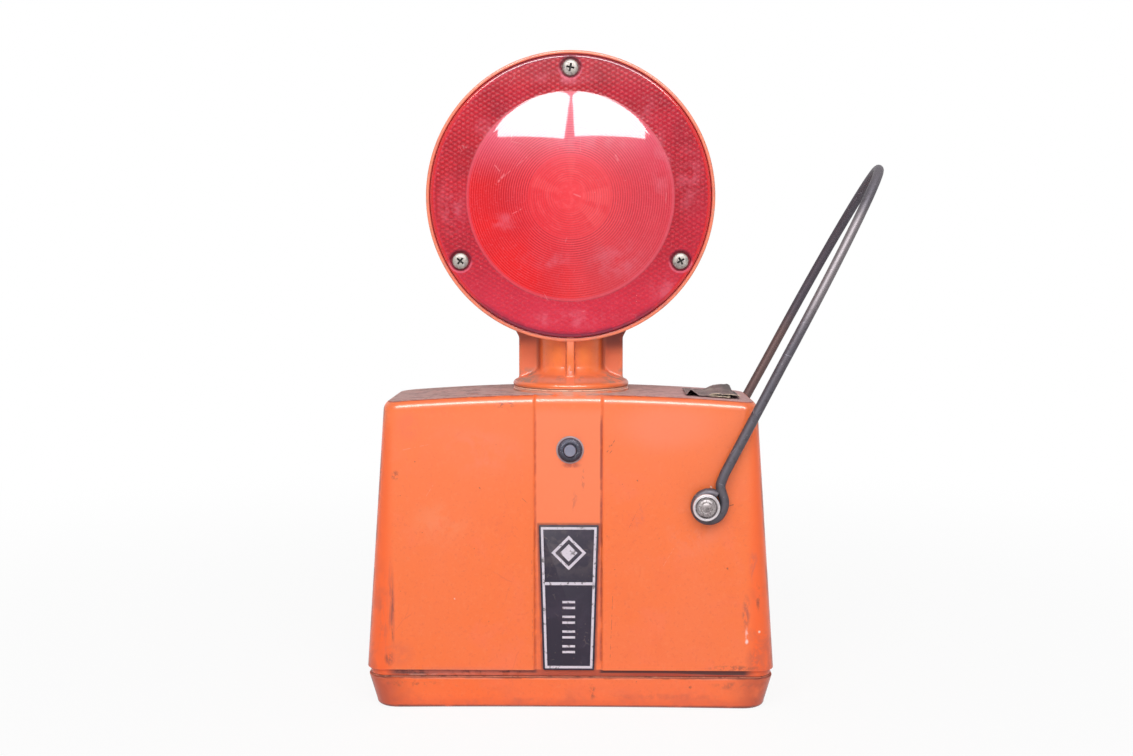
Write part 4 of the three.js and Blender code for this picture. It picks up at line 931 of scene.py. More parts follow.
def lens_material():
    """Red lens: a clear rounded edge, a ring of small prisms and a dome with fine rings inside it."""
    finish = Finish("lens red", (168, 4, 34), 0.3, Specular_IOR_Level=0.15, Coat_IOR=1.5)
    tree = finish.tree
    height = HEAD["height"]
    across, _, up = split(finish.from_lens_centre())
    flat = flatten(across, up)
    radius = vector("LENGTH", flat)
    fine = finish.noise(900.0, 4)
    # Prism ring: a lattice of lens-shaped cells, every second row set off by half a cell
    columns = calculate("COSINE", calculate("MULTIPLY", across, TURN / (LENS["prism_across"] * MM)))
    rows = calculate("COSINE", calculate("MULTIPLY", up, TURN / (LENS["prism_up"] * MM)))
    lattice = calculate("MULTIPLY", columns, rows)
    cells = ramp(calculate("ADD", lattice, calculate("MULTIPLY", fine, 0.6)), 0.2, 0.95)
    ring = finish.where((radius, 66.5, 67.3), (radius, 88.6, 87.8))
    bottom = finish.where((up, -20, -80))
    finish.lay((226, 44, 74), None, 0.8, ring, bottom)
    sides = finish.where(ring, ramp(noise_at(flat, 34.0, 5), 0.4, 0.66))
    finish.lay((200, 26, 56), None, 0.6, sides)
    broken = ramp(noise_at(flat, 60.0, 5), 0.3, 0.6)
    cells = finish.where(cells, calculate("MULTIPLY_ADD", broken, 0.7, 0.3))
    finish.lay((226, 26, 50), None, 0.6, ring, cells)
    # Painted light and shade on the prism cells towards the upper left
    lit = finish.where(ring, (calculate("SUBTRACT", up, across), 34, 80), ramp(noise_at(flat, 26.0, 3), 0.36, 0.56))
    finish.lay((186, 4, 30), None, 0.7, lit)
    finish.lay((232, 36, 54), None, 0.7, lit, cells)
    dark_patches = finish.where(ring, ramp(noise_at(flat, 40.0, 4), 0.5, 0.36), (up, -30, 20))
    finish.lay((150, 4, 34), None, 0.45, dark_patches)
    # Dome: deeper red to the left, pinker to the right, palest in the middle, with a painted reflection of the lights
    # on its upper part
    dome = finish.where((radius, 66.6, 66.0))
    finish.lay((230, 30, 50), None, 1.0, dome)
    left = finish.where((across, -8, -56))
    finish.lay((208, 0, 8), None, 0.9, dome, left)
    lower_left = finish.where(dome, (calculate("ADD", across, up), -24, -78))
    finish.lay((248, 0, 4), None, 0.95, lower_left)
    right = finish.where((across, 8, 60))
    finish.lay((216, 24, 56), None, 0.8, dome, right)
    finish.lay((238, 56, 72), None, 0.45, dome, (stains, 24.0, 0.46, 0.3))
    # Painted reflection of the lights as pink haze on the dome's upper part
    upper = finish.where(dome, (up, 6, 42))
    finish.lay((236, 70, 108), None, 0.8, upper)
    middle = finish.where((radius, 44, 10))
    finish.lay((249, 56, 66), None, 0.7, middle)
    # Brushed look of the flat middle: arcs that run round the centre, and painted highlights and shade in lighter and
    # darker sectors
    outward = vector("NORMALIZE", flat)
    turn = vector("MULTIPLY", outward, (1.3, 1.3, 0.0))
    reach = put(tree, "ShaderNodeCombineXYZ", {2: calculate("MULTIPLY", radius, 300.0)}).outputs[0]
    arcs = noise_at(vector("ADD", turn, reach), 1.0, 4, 0.6)
    inner = finish.where((radius, 27, 24))
    finish.lay((255, 88, 96), None, 0.35, inner, ramp(arcs, 0.5, 0.66))
    finish.lay((232, 34, 44), None, 0.4, inner, ramp(arcs, 0.48, 0.34))
    sectors = noise_at(scaled(outward, 1.7), 1.0, 1)
    finish.lay((255, 90, 96), None, 0.35, inner, ramp(sectors, 0.5, 0.62), (radius, 3, 14))
    finish.lay((206, 14, 40), None, 0.3, dome, ramp(sectors, 0.5, 0.36), (radius, 26, 36))
    # Fine rings over the rest of the dome, strongest round its flat middle
    waves = calculate("SINE", calculate("MULTIPLY", radius, TURN / (LENS["wave"] * MM)))
    lines = ramp(waves, 0.1, 0.95)
    outer = finish.where(dome, (radius, 25.5, 27.5), (radius, 65.6, 64))
    worn = calculate("MULTIPLY_ADD", ramp(noise_at(flat, 30.0, 3), 0.35, 0.6), 0.5, 0.5)
    strong = calculate("MULTIPLY_ADD", finish.where((radius, 60, 30)), 0.45, 0.55)
    finish.lay((180, 6, 34), None, 0.75, outer, lines, worn, strong)
    finish.lay((255, 104, 118), None, 0.26, outer, ramp(waves, -0.2, -0.95), worn)
    finish.lay((206, 20, 40), None, 0.5, inner, lines, (radius, 8, 12))
    border = finish.where((radius, 64.4, 65.2), (radius, 67.2, 66.2))
    finish.lay((226, 76, 96), None, 0.6, border)
    # Pale pink haze, a painted reflection of the lights near the top and scoured surface elsewhere, then scratches and
    # pale specks
    haze_and_reflection = [
        ((-4.0, 75.0), (24.0, 6.0), 0.75), ((50.0, 56.0), (16.0, 12.0), 0.45), ((-76.0, -6.0), (12.0, 26.0), 0.5),
        ((76.0, 10.0), (12.0, 30.0), 0.4), ((0.0, -78.0), (40.0, 8.0), 0.55), ((-54.0, 44.0), (10.0, 8.0), 0.4),
        ((30.0, -40.0), (26.0, 18.0), 0.35), ((-14.0, -40.0), (22.0, 8.0), 0.4), ((60.0, -58.0), (14.0, 14.0), 0.45),
        ((-42.0, -16.0), (12.0, 8.0), 0.4), ((58.0, 20.0), (8.0, 30.0), 0.4), ((10.0, 34.0), (40.0, 10.0), 0.35),
    ]
    for (x, z), (wide, tall), strength in haze_and_reflection:
        finish.smudge((x, -38.0, height + z), (wide, 30, tall), (232, 112, 132), strength, 110.0, 0.4, 0.26)
    marks = [
        ((-45.8, 9.7), (-27.1, 25.0), 0.5, 0.46), ((28.7, 25.8), (30.2, 22.6), 1.0, 0.3),
        ((2.4, 1.4), (6.4, -0.2), 0.9, 0.3), ((-48.0, 20.0), (-44.0, 15.0), 0.6, 0.4),
        ((-47.0, 8.0), (-42.0, 14.0), 1.0, 0.42), ((-37.0, -11.0), (-31.0, -8.0), 0.6, 0.46),
    ]
    level = vector("MULTIPLY", finish.place, (1, 0, 1))
    for (x0, z0), (x1, z1), width, breaks in marks:
        ends = metres((x0, 0, height + z0)), metres((x1, 0, height + z1))
        mask = finish.effect(mark, *ends, width * MM, breaks, place=level)
        finish.lay((250, 140, 150), 0.45, 0.5, mask)
    finish.lay((244, 150, 158), 0.45, 0.4, (scratches, 46.0, 0.01, 0.6))
    finish.lay((252, 160, 164), None, 0.5, (specks, 260.0, 0.12, 0.08))
    finish.lay((236, 96, 112), None, 0.22, (stains, 900.0, 0.52, 0.12))
    # Rounded edge: clear red at the sides, painted shade in dark purple above and below, and a painted pink reflection
    # towards the left
    rim = finish.where((radius, 87.4, 88.0))
    finish.lay((226, 12, 24), 0.2, 0.85, rim)
    upright = calculate("ABSOLUTE", up)
    finish.lay((140, 16, 58), 0.2, 0.8, rim, (upright, 62, 84))
    finish.lay((226, 60, 88), None, 0.35, (radius, 86.6, 87.2), (radius, 88.2, 87.6), (across, -20, -60))
    purple = finish.where((radius, 85.0, 88.4), (up, -56, -76), ramp(noise_at(flat, 120.0, 4), 0.36, 0.52))
    finish.lay((120, 14, 56), None, 0.6, purple)
    # Painted shade in each screw pocket: a dark crescent above the screw and a dark floor, with a painted lit ring
    # below it
    pocket_shade = None
    for angle, _ in SCREW_PLACES.values():
        spot = (*metres(on_lens(angle)), 0)
        away = vector("DISTANCE", flat, spot)
        near = finish.where((away, 6.7, 6.1))
        pocket_shade = near if pocket_shade is None else calculate("MAXIMUM", pocket_shade, near)
        lip = finish.where((away, 8.2, 7.2), (away, 5.9, 6.5))
        above = split(vector("SUBTRACT", flat, spot))["Y"]
        finish.lay((238, 112, 136), None, 0.6, lip, (above, 2, -3))
        finish.lay((120, 8, 44), None, 0.7, lip, (above, -2, 2))
    finish.lay((110, 10, 36), 0.4, 0.8, pocket_shade)
    dull = finish.where(dome, (across, 26, -30), (up, 36, 8))
    dull = calculate("MAXIMUM", dull, finish.where(ring, (up, 78, 66)))
    finish.gloss(1.0, 0.045, calculate("MULTIPLY_ADD", dull, -0.6, 1.0))
    finish.raise_by(finish.where(lattice, ring), 0.3, 0.3)
    finish.raise_by(finish.where(dome, waves), 0.06, 0.2)
    return finish.done()


def dull_steel(name, colour, roughness, rust, rust_strength, metallic=0.75):
    """Old bare steel with brown patches and fine marks."""
    finish = Finish(name, colour, roughness, Metallic=metallic)
    finish.lay(rust, roughness + 0.15, rust_strength, (stains, 70.0, 0.45, 0.25))
    finish.lay((60, 52, 58), roughness + 0.1, 0.55, (stains, 260.0, 0.52, 0.15))
    finish.lay((176, 172, 184), roughness, 0.5, (scratches, 120.0, 0.03, 0.56))
    finish.lay((190, 182, 186), roughness, 0.5, (specks, 420.0, 0.2, 0.15))
    finish.raise_by(finish.effect(moulded_grain, 1400.0, 160.0), 0.4, 0.15)
    return finish


def bail_material():
    """Bare wire, browner on its rear leg, with a painted highlight along the front leg."""
    finish = dull_steel("bail steel", (84, 80, 88), 0.52, (92, 80, 82), 0.4, 0.5)
    rear = finish.where(("y", 10, 44))
    finish.lay((72, 64, 74), 0.55, 0.75, rear)
    finish.lay((100, 76, 72), 0.55, 0.8, rear, ("z", 262, 238))
    # Painted highlight along the middle of the front leg
    bright = finish.where(("z", 240, 272), ("z", 335, 315), ("y", -20, -40))
    finish.lay((126, 118, 120), 0.47, 0.65, bright)
    finish.lay((106, 100, 106), 0.55, 0.6, ("z", 330, 350))
    return finish.done()


def bright_steel(name, colour, roughness, metallic=0.6):
    """Plated steel, dull where the plating is stained and bright on its rubbed edges."""
    finish = Finish(name, colour, roughness, Metallic=metallic)
    finish.lay((104, 92, 96), 0.5, 0.6, (stains, 380.0, 0.48, 0.14))
    finish.lay((206, 198, 204), 0.4, 0.5, (stains, 900.0, 0.54, 0.1))
    finish.lay((226, 220, 222), 0.3, 0.55, (edge_wear, 0.35 * MM, 500.0))
    finish.raise_by(finish.effect(moulded_grain, 2600.0, 400.0), 0.35, 0.08)
    return finish


def washer_material():
    """Painted highlight on the raised ring, dark dashed groove inside it, stained middle."""
    finish = bright_steel("washer steel", (176, 168, 168), 0.46, 0.35)
    centred = vector("SUBTRACT", finish.place, (PIVOT["x"] * MM, 0, PIVOT["height"] * MM))
    flat = vector("MULTIPLY", centred, (1, 0, 1))
    radius = vector("LENGTH", flat)

    def circle(at, half):
        return finish.where((apart(radius, at), half, 0.3 * half))

    finish.lay((96, 86, 90), 0.5, 0.75, (stains, 1500.0, 0.5, 0.1))
    # Painted highlight on the washer's raised outer ring
    finish.lay((228, 222, 226), 0.36, 0.7, (radius, 6.9, 7.2))
    finish.lay((48, 40, 44), 0.7, 0.95, circle(6.5, 0.45), ("noise", 1100.0, 0.36, 0.52))
    finish.lay((96, 84, 78), 0.7, 0.75, circle(3.7, 0.4), ("noise", 900.0, 0.38, 0.55))
    finish.lay((150, 140, 140), 0.5, 0.6, (radius, 3.4, 2.6))
    finish.smudge((PIVOT["x"] + 1.4, -50.0, PIVOT["height"] - 1.2), (3.6, 30, 2.6), (58, 44, 46), 0.95, 620.0, 0.38)
    finish.smudge((PIVOT["x"] + 4.6, -50.0, PIVOT["height"] - 0.2), (2.2, 30, 1.0), (84, 72, 74), 0.7, 900.0, 0.42)
    return finish.done()


def recess_shade_material():
    # Painted shade: a dark finish for the faces inside the screws' cross recess
    finish = Finish("screw recess shade", (44, 40, 38), 0.7)
    finish.lay((110, 102, 96), 0.6, 0.6, (stains, 900.0, 0.5, 0.15))
    return finish.done()


def button_ring_material():
    """Nut of dark steel, worn bright in flecks, with painted shade low down."""
    finish = dull_steel("button ring", (60, 60, 76), 0.58, (46, 42, 54), 0.6, 0.3)
    finish.lay((170, 172, 188), 0.4, 0.6, (specks, 800.0, 0.3, 0.3))
    finish.lay((112, 114, 130), 0.5, 0.5, (stains, 1300.0, 0.52, 0.1))
    # Painted shade on the lower part of the nut
    finish.lay((40, 34, 44), 0.6, 0.6, ("z", BUTTON["height"] - 1, BUTTON["height"] - 7))
    return finish.done()


def plain_finish(name, colour, roughness, metallic=0.0, **shader_values):
    """A moulded or plated surface for the small and the inner pieces."""
    finish = Finish(name, colour, roughness, Metallic=metallic, **shader_values)
    base = rgb(colour)[:3]
    finish.lay([c * 0.7 for c in base] + [1], min(roughness + 0.15, 1), 0.5, (stains, 90.0, 0.5, 0.2))
    finish.lay([min(c * 1.6 + 0.03, 1) for c in base] + [1], roughness, 0.5, (edge_wear, 0.4 * MM, 300.0))
    finish.raise_by(finish.effect(moulded_grain, 1500.0, 120.0), 0.3, 0.1)
    return finish.done()


def plate_material():
    finish = Finish("plate black", (36, 26, 46), 0.5, Specular_IOR_Level=0.4)
    finish.lay((58, 46, 66), 0.5, 0.5, (stains, 60.0, 0.45, 0.25))
    finish.lay((104, 88, 84), 0.6, 0.6, (specks, 420.0, 0.22, 0.2))
    finish.lay((112, 98, 94), 0.5, 0.5, (scratches, 90.0, 0.02, 0.56))
    dusty = finish.where(("z", 84, 100), (stains, 140.0, 0.42, 0.2))
    finish.lay((82, 70, 76), 0.6, 0.55, dusty)
    finish.lay((24, 20, 24), 0.5, 0.6, (edge_wear, 0.6 * MM, 300.0))
    finish.raise_by(finish.noise(1800.0), 0.35, 0.12)
    return finish.done()


def plate_line_material():
    finish = Finish("plate lines", (218, 210, 222), 0.45)
    finish.lay((164, 154, 164), 0.5, 0.7, (stains, 60.0, 0.5, 0.3))
    finish.lay((98, 88, 92), 0.5, 0.85, (stains, 320.0, 0.55, 0.08))
    finish.lay((120, 110, 112), 0.5, 0.7, (specks, 900.0, 0.3, 0.2))
    finish.raise_by(finish.noise(900.0), 0.4, 0.1)
    return finish.done()


def tape_material():
    finish = Finish("tape", (160, 138, 136), 0.92)
    finish.lay((118, 98, 98), 0.95, 0.7, (stains, 150.0, 0.44, 0.16))
    finish.lay((188, 170, 158), 0.9, 0.7, (stains, 90.0, 0.56, 0.12))
    # Greener and darker where it stands up, cream along its frayed front edge
    raised = finish.where(("x", 98, 103), ("y", -14, -2))
    finish.lay((86, 82, 80), 0.95, 0.8, raised)
    fray = finish.where(("y", -26.5, -28.5), ("x", 89, 92))
    finish.lay((226, 208, 180), 0.9, 0.85, fray, ("noise", 420, 0.34, 0.5))
    # Painted shade on the faces that turn down, under the lifted parts
    below = normal_parts(finish.tree)["Z"]
    finish.lay((58, 30, 34), 0.95, 0.9, ramp(below, 0.0, -0.4))
    weave = put(finish.tree, "ShaderNodeTexBrick", {"Vector": finish.place, "Color1": (1, 1, 1, 1),
                                                    "Color2": (1, 1, 1, 1), "Mortar": (0, 0, 0, 1), "Scale": 1.0,
                                                    "Mortar Size": 0.12 * MM, "Mortar Smooth": 1.0,
                                                    "Brick Width": 0.9 * MM, "Row Height": 0.7 * MM})
    threads = put(finish.tree, "ShaderNodeSeparateColor", {0: weave.outputs["Color"]}).outputs[0]
    finish.lay((96, 80, 78), None, 0.45, calculate("SUBTRACT", 1.0, threads))
    finish.raise_by(threads, 0.5, 0.2)
    finish.raise_by(finish.noise(320.0), 0.6, 0.5)
    return finish.done()


def seam_material():
    """Old seal, brown with dust and dark where it is bare."""
    finish = Finish("seam seal", (190, 108, 82), 0.85)
    finish.lay((112, 60, 46), 0.9, 0.7, (stains, 130.0, 0.5, 0.14))
    finish.lay((220, 146, 118), 0.9, 0.5, (stains, 320.0, 0.55, 0.1))
    return finish.done()


def swivel_seal_material():
    finish = Finish("swivel seal", (255, 190, 160), 0.85)
    finish.lay((255, 214, 190), 0.9, 0.7, (stains, 160.0, 0.48, 0.16))
    finish.lay((214, 130, 100), 0.9, 0.5, (stains, 300.0, 0.54, 0.1))
    return finish.done()


def glass_material():
    finish = Finish("bulb glass", (0.95, 0.97, 0.98, 1), 0.03, Transmission_Weight=1.0, IOR=1.45)
    finish.lay((0.85, 0.86, 0.86, 1), 0.08, 0.3, (stains, 60.0, 0.5, 0.3))
    return finish.done()


MATERIALS = {
    "case": case_material(),
    "tray": tray_material(),
    "head": head_material(),
    "neck": neck_material(),
    "lens": lens_material(),
    "bail": bail_material(),
    "screw": bright_steel("screw steel", (168, 160, 152), 0.5, 0.25).done(),
    # The painted shade inside the screws' cross recess
    "recess_shade": recess_shade_material(),
    "washer": washer_material(),
    "zinc": plain_finish("zinc plate", (200, 198, 194), 0.4, 0.85),
    "rubber": plain_finish("rubber", (62, 50, 50), 0.8),
    "seam": seam_material(),
    "swivel seal": swivel_seal_material(),
    "ring": button_ring_material(),
    "ring edge": plain_finish("button ring edge", (176, 150, 154), 0.6),
    "plunger": plain_finish("button plunger", (132, 132, 152), 0.5),
    "black": plain_finish("black plastic", (44, 44, 48), 0.5),
    "plate": plate_material(),
    "plate line": plate_line_material(),
    "tape": tape_material(),
    "brass": plain_finish("brass strip", (190, 156, 84), 0.35, 0.9),
    "mirror": plain_finish("mirror", (222, 222, 226), 0.08, 1.0),
    "glass": glass_material(),
    "board": plain_finish("circuit board", (146, 104, 60), 0.7),
    "battery": plain_finish("battery wrap", (52, 78, 116), 0.5),
    "cable": plain_finish("cable sheath", (34, 34, 38), 0.6),
}


# Case


def select_top(piece, height):
    select_faces(piece, lambda middle, normal: middle.z > height and normal.z > 0.5)


def draw_case():
    """Draws the band, the ledge and the panels upwards from a rounded sheet, then the crown and the top's round."""
    proud = CASE["panel_proud"]
    foot = (CASE["foot_width"] / 2, CASE["foot_depth"] / 2)
    shoulder = (CASE["shoulder_width"] / 2, CASE["shoulder_depth"] / 2)
    band = [half - proud for half in foot]
    piece = sheet("case_skin", 2 * band[0], 2 * band[1], (0, 0, CASE["seam_height"]))
    round_corners(CASE["corner_round"] - proud)
    extrude((0, 0, CASE["foot_height"] - CASE["seam_height"]))
    extrude()
    stretch((foot[0] / band[0], foot[1] / band[1], 1))
    extrude((0, 0, CASE["shoulder_height"] - CASE["foot_height"]))
    stretch((shoulder[0] / foot[0], shoulder[1] / foot[1], 1))
    edge = CASE["strip_width"] / 2
    middle = CASE["strip_centre"]
    columns = {s * c for c in [0, 7, 14] + list(range(30, 120, 10)) for s in (-1, 1)}
    columns |= {middle + s * (edge + draft) for draft in (0, CASE["strip_draft"]) for s in (-1, 1)}
    for x in sorted(columns):
        slice_at(x)
    # The centre strip stays back by the panels' height
    ledge = CASE["foot_height"]
    for side in (-1, 1):
        def on_strip(v):
            outward = v.y * side - foot[1]
            above_ledge = v.z > ledge + 0.01 or (v.z > ledge - 0.01 and outward > -0.5)
            return abs(v.x - middle) < edge + 0.01 and outward > -6 and above_ledge

        select_vertices(piece, on_strip)
        move((0, -side * proud, 0))
    # Crown of the top, column by column
    shape = bmesh.from_edit_mesh(piece.data)
    top = CASE["shoulder_height"]
    lifts = sorted({round(vertex.co.x / MM, 2) for vertex in shape.verts if vertex.co.z / MM > top - 0.1})
    for x in lifts:
        if select_vertices(piece, lambda v: abs(v.x - x) < 0.02 and top - 0.05 < v.z < top + 0.05):
            move((0, 0, crown_lift(x) + 0.2))
    select_vertices(piece, lambda v: v.z > top + 0.1)
    move((0, 0, -0.2))
    # Round of the top's edge, ring by ring
    steps = 7
    rounds = (CASE["side_round"], CASE["top_round"])
    share, rise = 0.0, 0.0
    select_top(piece, top - 4)
    for i in range(1, steps + 1):
        angle = QUARTER * i / steps
        next_share = 1 - math.cos(angle)
        next_rise = CASE["top_round"] * math.sin(angle)
        extrude((0, 0, next_rise - rise))
        stretch([(half - r * next_share) / (half - r * share) for half, r in zip(shoulder, rounds)] + [1])
        share, rise = next_share, next_rise
    tidy_shape()
    end_edit()
    soften_edges(piece, CASE["edge_softness"], 24, 3)
    smooth(piece, 30)
    pad, top = HEAD["flange_radius"], CASE["pad_height"]
    # A raised ring under the neck's flange, with a small chamfer
    inner, outer, foot = pad - 7, pad - 0.2, top - 3.2
    seat = turned("neck_seat", [(inner, foot), (outer, foot), (outer, top - 0.5), (pad - 0.7, top), (inner, top),
                                (inner, foot)], 96, closed=True)
    smooth(seat, 30)
    piece = join([piece, seat], "case_skin")
    finish_piece(piece, "case", "case_orange", MATERIALS["case"], "case_shell")


def draw_tray():
    half = [TRAY["rim_width"] / 2, TRAY["rim_depth"] / 2]
    round_steps = 6
    levels = []
    for i in range(round_steps + 1):
        angle = QUARTER * i / round_steps
        levels.append((TRAY["side_inset"] + TRAY["bottom_round"] * (1 - math.sin(angle)),
                       TRAY["bottom_round"] * (1 - math.cos(angle))))
    rim = TRAY["rim_height"]
    levels += [(0.35, rim - 0.9), (0.25, rim - 0.3), (0.7, rim)]
    inset, height = levels[0]
    start = [h - inset for h in half]
    piece = sheet("tray_skin", 2 * start[0], 2 * start[1])
    round_corners(TRAY["rim_round"])
    for next_inset, next_height in levels[1:]:
        extrude((0, 0, next_height - height))
        stretch([(h - next_inset) / (h - inset) for h in half] + [1])
        inset, height = next_inset, next_height
    tidy_shape()
    # Its foot is hollowed a little between the ends
    columns = range(-110, 120, 20)
    for x in columns:
        slice_at(x)
    for x in columns:
        for low, high, part in ((-1.0, 1.5, 1.0), (1.5, 2.8, 0.6), (2.8, 4.0, 0.3)):
            if select_vertices(piece, lambda v: abs(v.x - x) < 0.05 and low < v.z < high):
                move((0, 0, part * TRAY["arch"] * (1 - (x / TRAY["screw_across"]) ** 2)))
    end_edit()
    across, along = TRAY["screw_across"], TRAY["screw_along"]
    pocket = [(TRAY["pocket_radius"], -2.0), (TRAY["pocket_radius"], TRAY["pocket_depth"])]
    cut_away(piece, [turned("screw_pocket", pocket, 32, "Z", (x, y))
                     for x in (-across, across) for y in (-along, along)])
    smooth(piece, 30)
    finish_piece(piece, "case", "case_orange", MATERIALS["tray"], "base_tray")


# Lamp head


def bowl_profile(inset):
    shares = [(1, 1), (0.985, 0.86), (0.965, 0.62), (0.92, 0.42), (0.84, 0.25), (0.7, 0.12), (0.45, 0.03), (0.03, 0)]
    depth = HEAD["rim_forward"] - HEAD["back_forward"]
    return [(HEAD["rim_radius"] * radius - inset * min(1, radius * 2), max(HEAD["back_forward"] + depth * share,
             HEAD["back_forward"] + inset)) for radius, share in shares]


def draw_bowl():
    outer = rounded_profile(list(reversed(bowl_profile(0))), 4)[:-1]
    inner = [point for point in bowl_profile(HEAD["wall"]) if point[0] < HEAD["seat_radius"] - 2]
    front = HEAD["rim_forward"]
    rim = HEAD["rim_radius"]
    opening = HEAD["opening_radius"]
    lip = (arc((rim - 1.1, front - 1.1), 1.1, 0, 90, 5) + arc((opening + 0.5, front - 0.5), 0.5, 90, 180, 4)
           + [(opening, HEAD["seat_forward"]), (HEAD["seat_radius"], HEAD["seat_forward"])])
    profile = outer + lip + rounded_profile(inner, 3)
    piece = turned("head_bowl", profile, 144, "Y", (0, HEAD["height"]))
    smooth(piece, 34)
    finish_piece(piece, "head", "head_orange", MATERIALS["head"], "head_housing")


def draw_neck():
    """The neck, its flare and flange, the webs and the rib, melted into one casting with soft inner corners."""
    base = HEAD["flange_base"]
    flare = HEAD["flange_radius"] - HEAD["neck_radius"]
    neck = HEAD["neck_radius"]
    foot = HEAD["neck_foot"]
    edge = HEAD["flange_edge"]
    curve = rounded_profile([
        (neck + flare * 0.93, base + foot * 0.27), (neck + flare * 0.76, base + foot * 0.36),
        (neck + flare * 0.42, base + foot * 0.52), (neck + flare * 0.16, base + foot * 0.72),
        (neck, base + foot)], 4)
    top = HEAD["height"] - HEAD["seat_radius"] * 0.75
    profile = ([(HEAD["flange_radius"] - 0.7, base), (HEAD["flange_radius"], base + 0.7),
                (HEAD["flange_radius"], base + edge), (HEAD["flange_radius"] - 0.4, base + edge + 0.9)]
               + curve + [(neck, top - 20), (neck, top - 6)])
    column = turned("neck_casting", profile, 96)
    web_foot = base + foot * 0.3
    webs = block("webs", (-HEAD["web_half_width"], -HEAD["web_thickness"] / 2, web_foot),
                 (HEAD["web_half_width"], HEAD["web_thickness"] / 2, top - 8))
    soften_edges(webs, 0.8)
    rib_top = HEAD["height"] - HEAD["seat_radius"] - 1
    rib = block("rib", (-HEAD["rib_width"] / 2, -HEAD["rim_forward"] + 0.2, base + HEAD["rib_foot"]),
                (HEAD["rib_width"] / 2, 0, rib_top))
    start_edit(rib)
    select_vertices(rib, lambda v: v.y < -20 and v.z < base + 10)
    move((0, 2.4, 0.6))
    end_edit()
    soften_edges(rib, 0.7)
    gussets = []
    for side in (-1, 1):
        gusset = block("gusset", (HEAD["gusset_in"], -HEAD["web_thickness"] / 2, HEAD["gusset_low"]),
                       (HEAD["gusset_out"], HEAD["web_thickness"] / 2, HEAD["gusset_high"]))
        start_edit(gusset)
        select_vertices(gusset, lambda v: v.x > HEAD["gusset_in"] + 6 and v.z < HEAD["gusset_low"] + 4)
        move((HEAD["web_half_width"] - HEAD["gusset_out"], 0, 0))
        select_all()
        stretch((side, 1, 1))
        tidy_shape()
        end_edit()
        gussets.append(gusset)
    piece = join([column, webs, rib] + gussets, "neck_casting")
    modify(piece, "REMESH", mode="VOXEL", voxel_size=HEAD["melt_cell"] * MM, use_smooth_shade=True)
    modify(piece, "SMOOTH", factor=0.5, iterations=5)
    smooth(piece, 60)
    finish_piece(piece, "head", "head_orange", MATERIALS["neck"], "head_housing")


def dome_forward(radius):
    rise = LENS["dome_rise"]
    sphere = (LENS["dome_radius"] ** 2 + rise**2) / (2 * rise)
    return math.sqrt(sphere**2 - radius**2) - (sphere - rise)


def draw_lens():
    face = LENS["face_forward"]
    back = face - LENS["thickness"]
    dome = LENS["dome_radius"]
    rounding = LENS["edge_round"]
    front = [(r, face + dome_forward(r)) for r in [0.6] + [3.0 * i for i in range(1, 22)] + [65.4]]
    shoulder = [(66.2, face + dome_forward(65.4) - 0.12), (66.7, face + 0.12), (67.3, face)]
    ring = [(70.0, face), (76.0, face), (82.0, face), (LENS["radius"] - rounding, face)]
    edge = arc((LENS["radius"] - rounding, face - rounding), rounding, 90, 0, 9)[1:]
    inner = [(dome - 3.0, back)] + [(r, back + dome_forward(r) * 0.96) for r in (56, 48, 40, 32, 24, 16, 8, 0.6)]
    piece = turned("lens_disc", front + shoulder + ring + edge + [(LENS["radius"], back)] + inner, 144, "Y",
                   (0, HEAD["height"]))
    radius = LENS["pocket_radius"]
    pocket = [(radius, face - LENS["pocket_depth"]), (radius, face - 0.5), (radius + 0.5, face + 0.02),
              (radius + 0.5, face + 2)]
    cut_away(piece, [turned("pocket", pocket, 48, "Y", on_lens(angle, HEAD["height"]))
                     for angle, _ in SCREW_PLACES.values()])
    smooth(piece, 24)
    finish_piece(piece, "head", "lens_red", MATERIALS["lens"], "lens")


def draw_lens_screws():
    """One pan-head screw with a cross recess, copied to the three places with its own turn."""
    radius, height, seat = SCREW["head_radius"], SCREW["head_height"], SCREW["seat_forward"]
    profile = [(radius - 0.15, seat), (radius, seat + 0.2), (radius, seat + height * 0.35)]
    profile += rounded_profile([(radius, seat + height * 0.4), (radius * 0.93, seat + height * 0.68),
                                (radius * 0.72, seat + height * 0.9), (radius * 0.42, seat + height),
                                (0.3, seat + height * 1.01)], 3)[1:]
    head = turned("lens_screw_head", profile, 48, "Y")
    arm, slot = SCREW["recess_arm"], SCREW["recess_slot"]
    floor = seat + height * 0.3
    for size in ((arm, slot), (slot, arm)):
        cutter = block("recess", (-size[0], -(seat + height + 1), -size[1]), (size[0], -floor, size[1]))
        start_edit(cutter)
        select_vertices(cutter, lambda v: v.y > -(seat + height * 0.7))
        stretch((0.5, 1, 0.5), (0, -floor, 0))
        end_edit()
        cut_away(head, [cutter])
    soften_edges(head, 0.12, 40, 2)
    smooth(head, 38)
    head.data.materials.append(MATERIALS["screw"])
    # Its second material is the painted shade of the cross recess
    head.data.materials.append(MATERIALS["recess_shade"])
    start_edit(head, "FACE")

    def in_recess(middle, normal):
        out = math.hypot(middle.x, middle.z)
        dome = seat + height * (1.01 - 0.3 * (out / radius) ** 2)
        return out < arm + 0.3 and -middle.y < dome - 0.25

    select_faces(head, in_recess)
    head.active_material_index = 1
    bpy.ops.object.material_slot_assign()
    end_edit()
    for name, (angle, turn) in SCREW_PLACES.items():
        copy = head.copy()
        copy.data = head.data.copy()
        copy.name = f"lens_screw_head_{name}"
        bpy.context.scene.collection.objects.link(copy)
        x, z = on_lens(angle, HEAD["height"])
        copy.location = metres((x, 0, z))
        copy.rotation_euler = (0, math.radians(turn), 0)
        settle(copy)
        finish_piece(copy, "head", "zinc", None, f"lens_screw_{name}")
    bpy.data.objects.remove(head)


# Push button


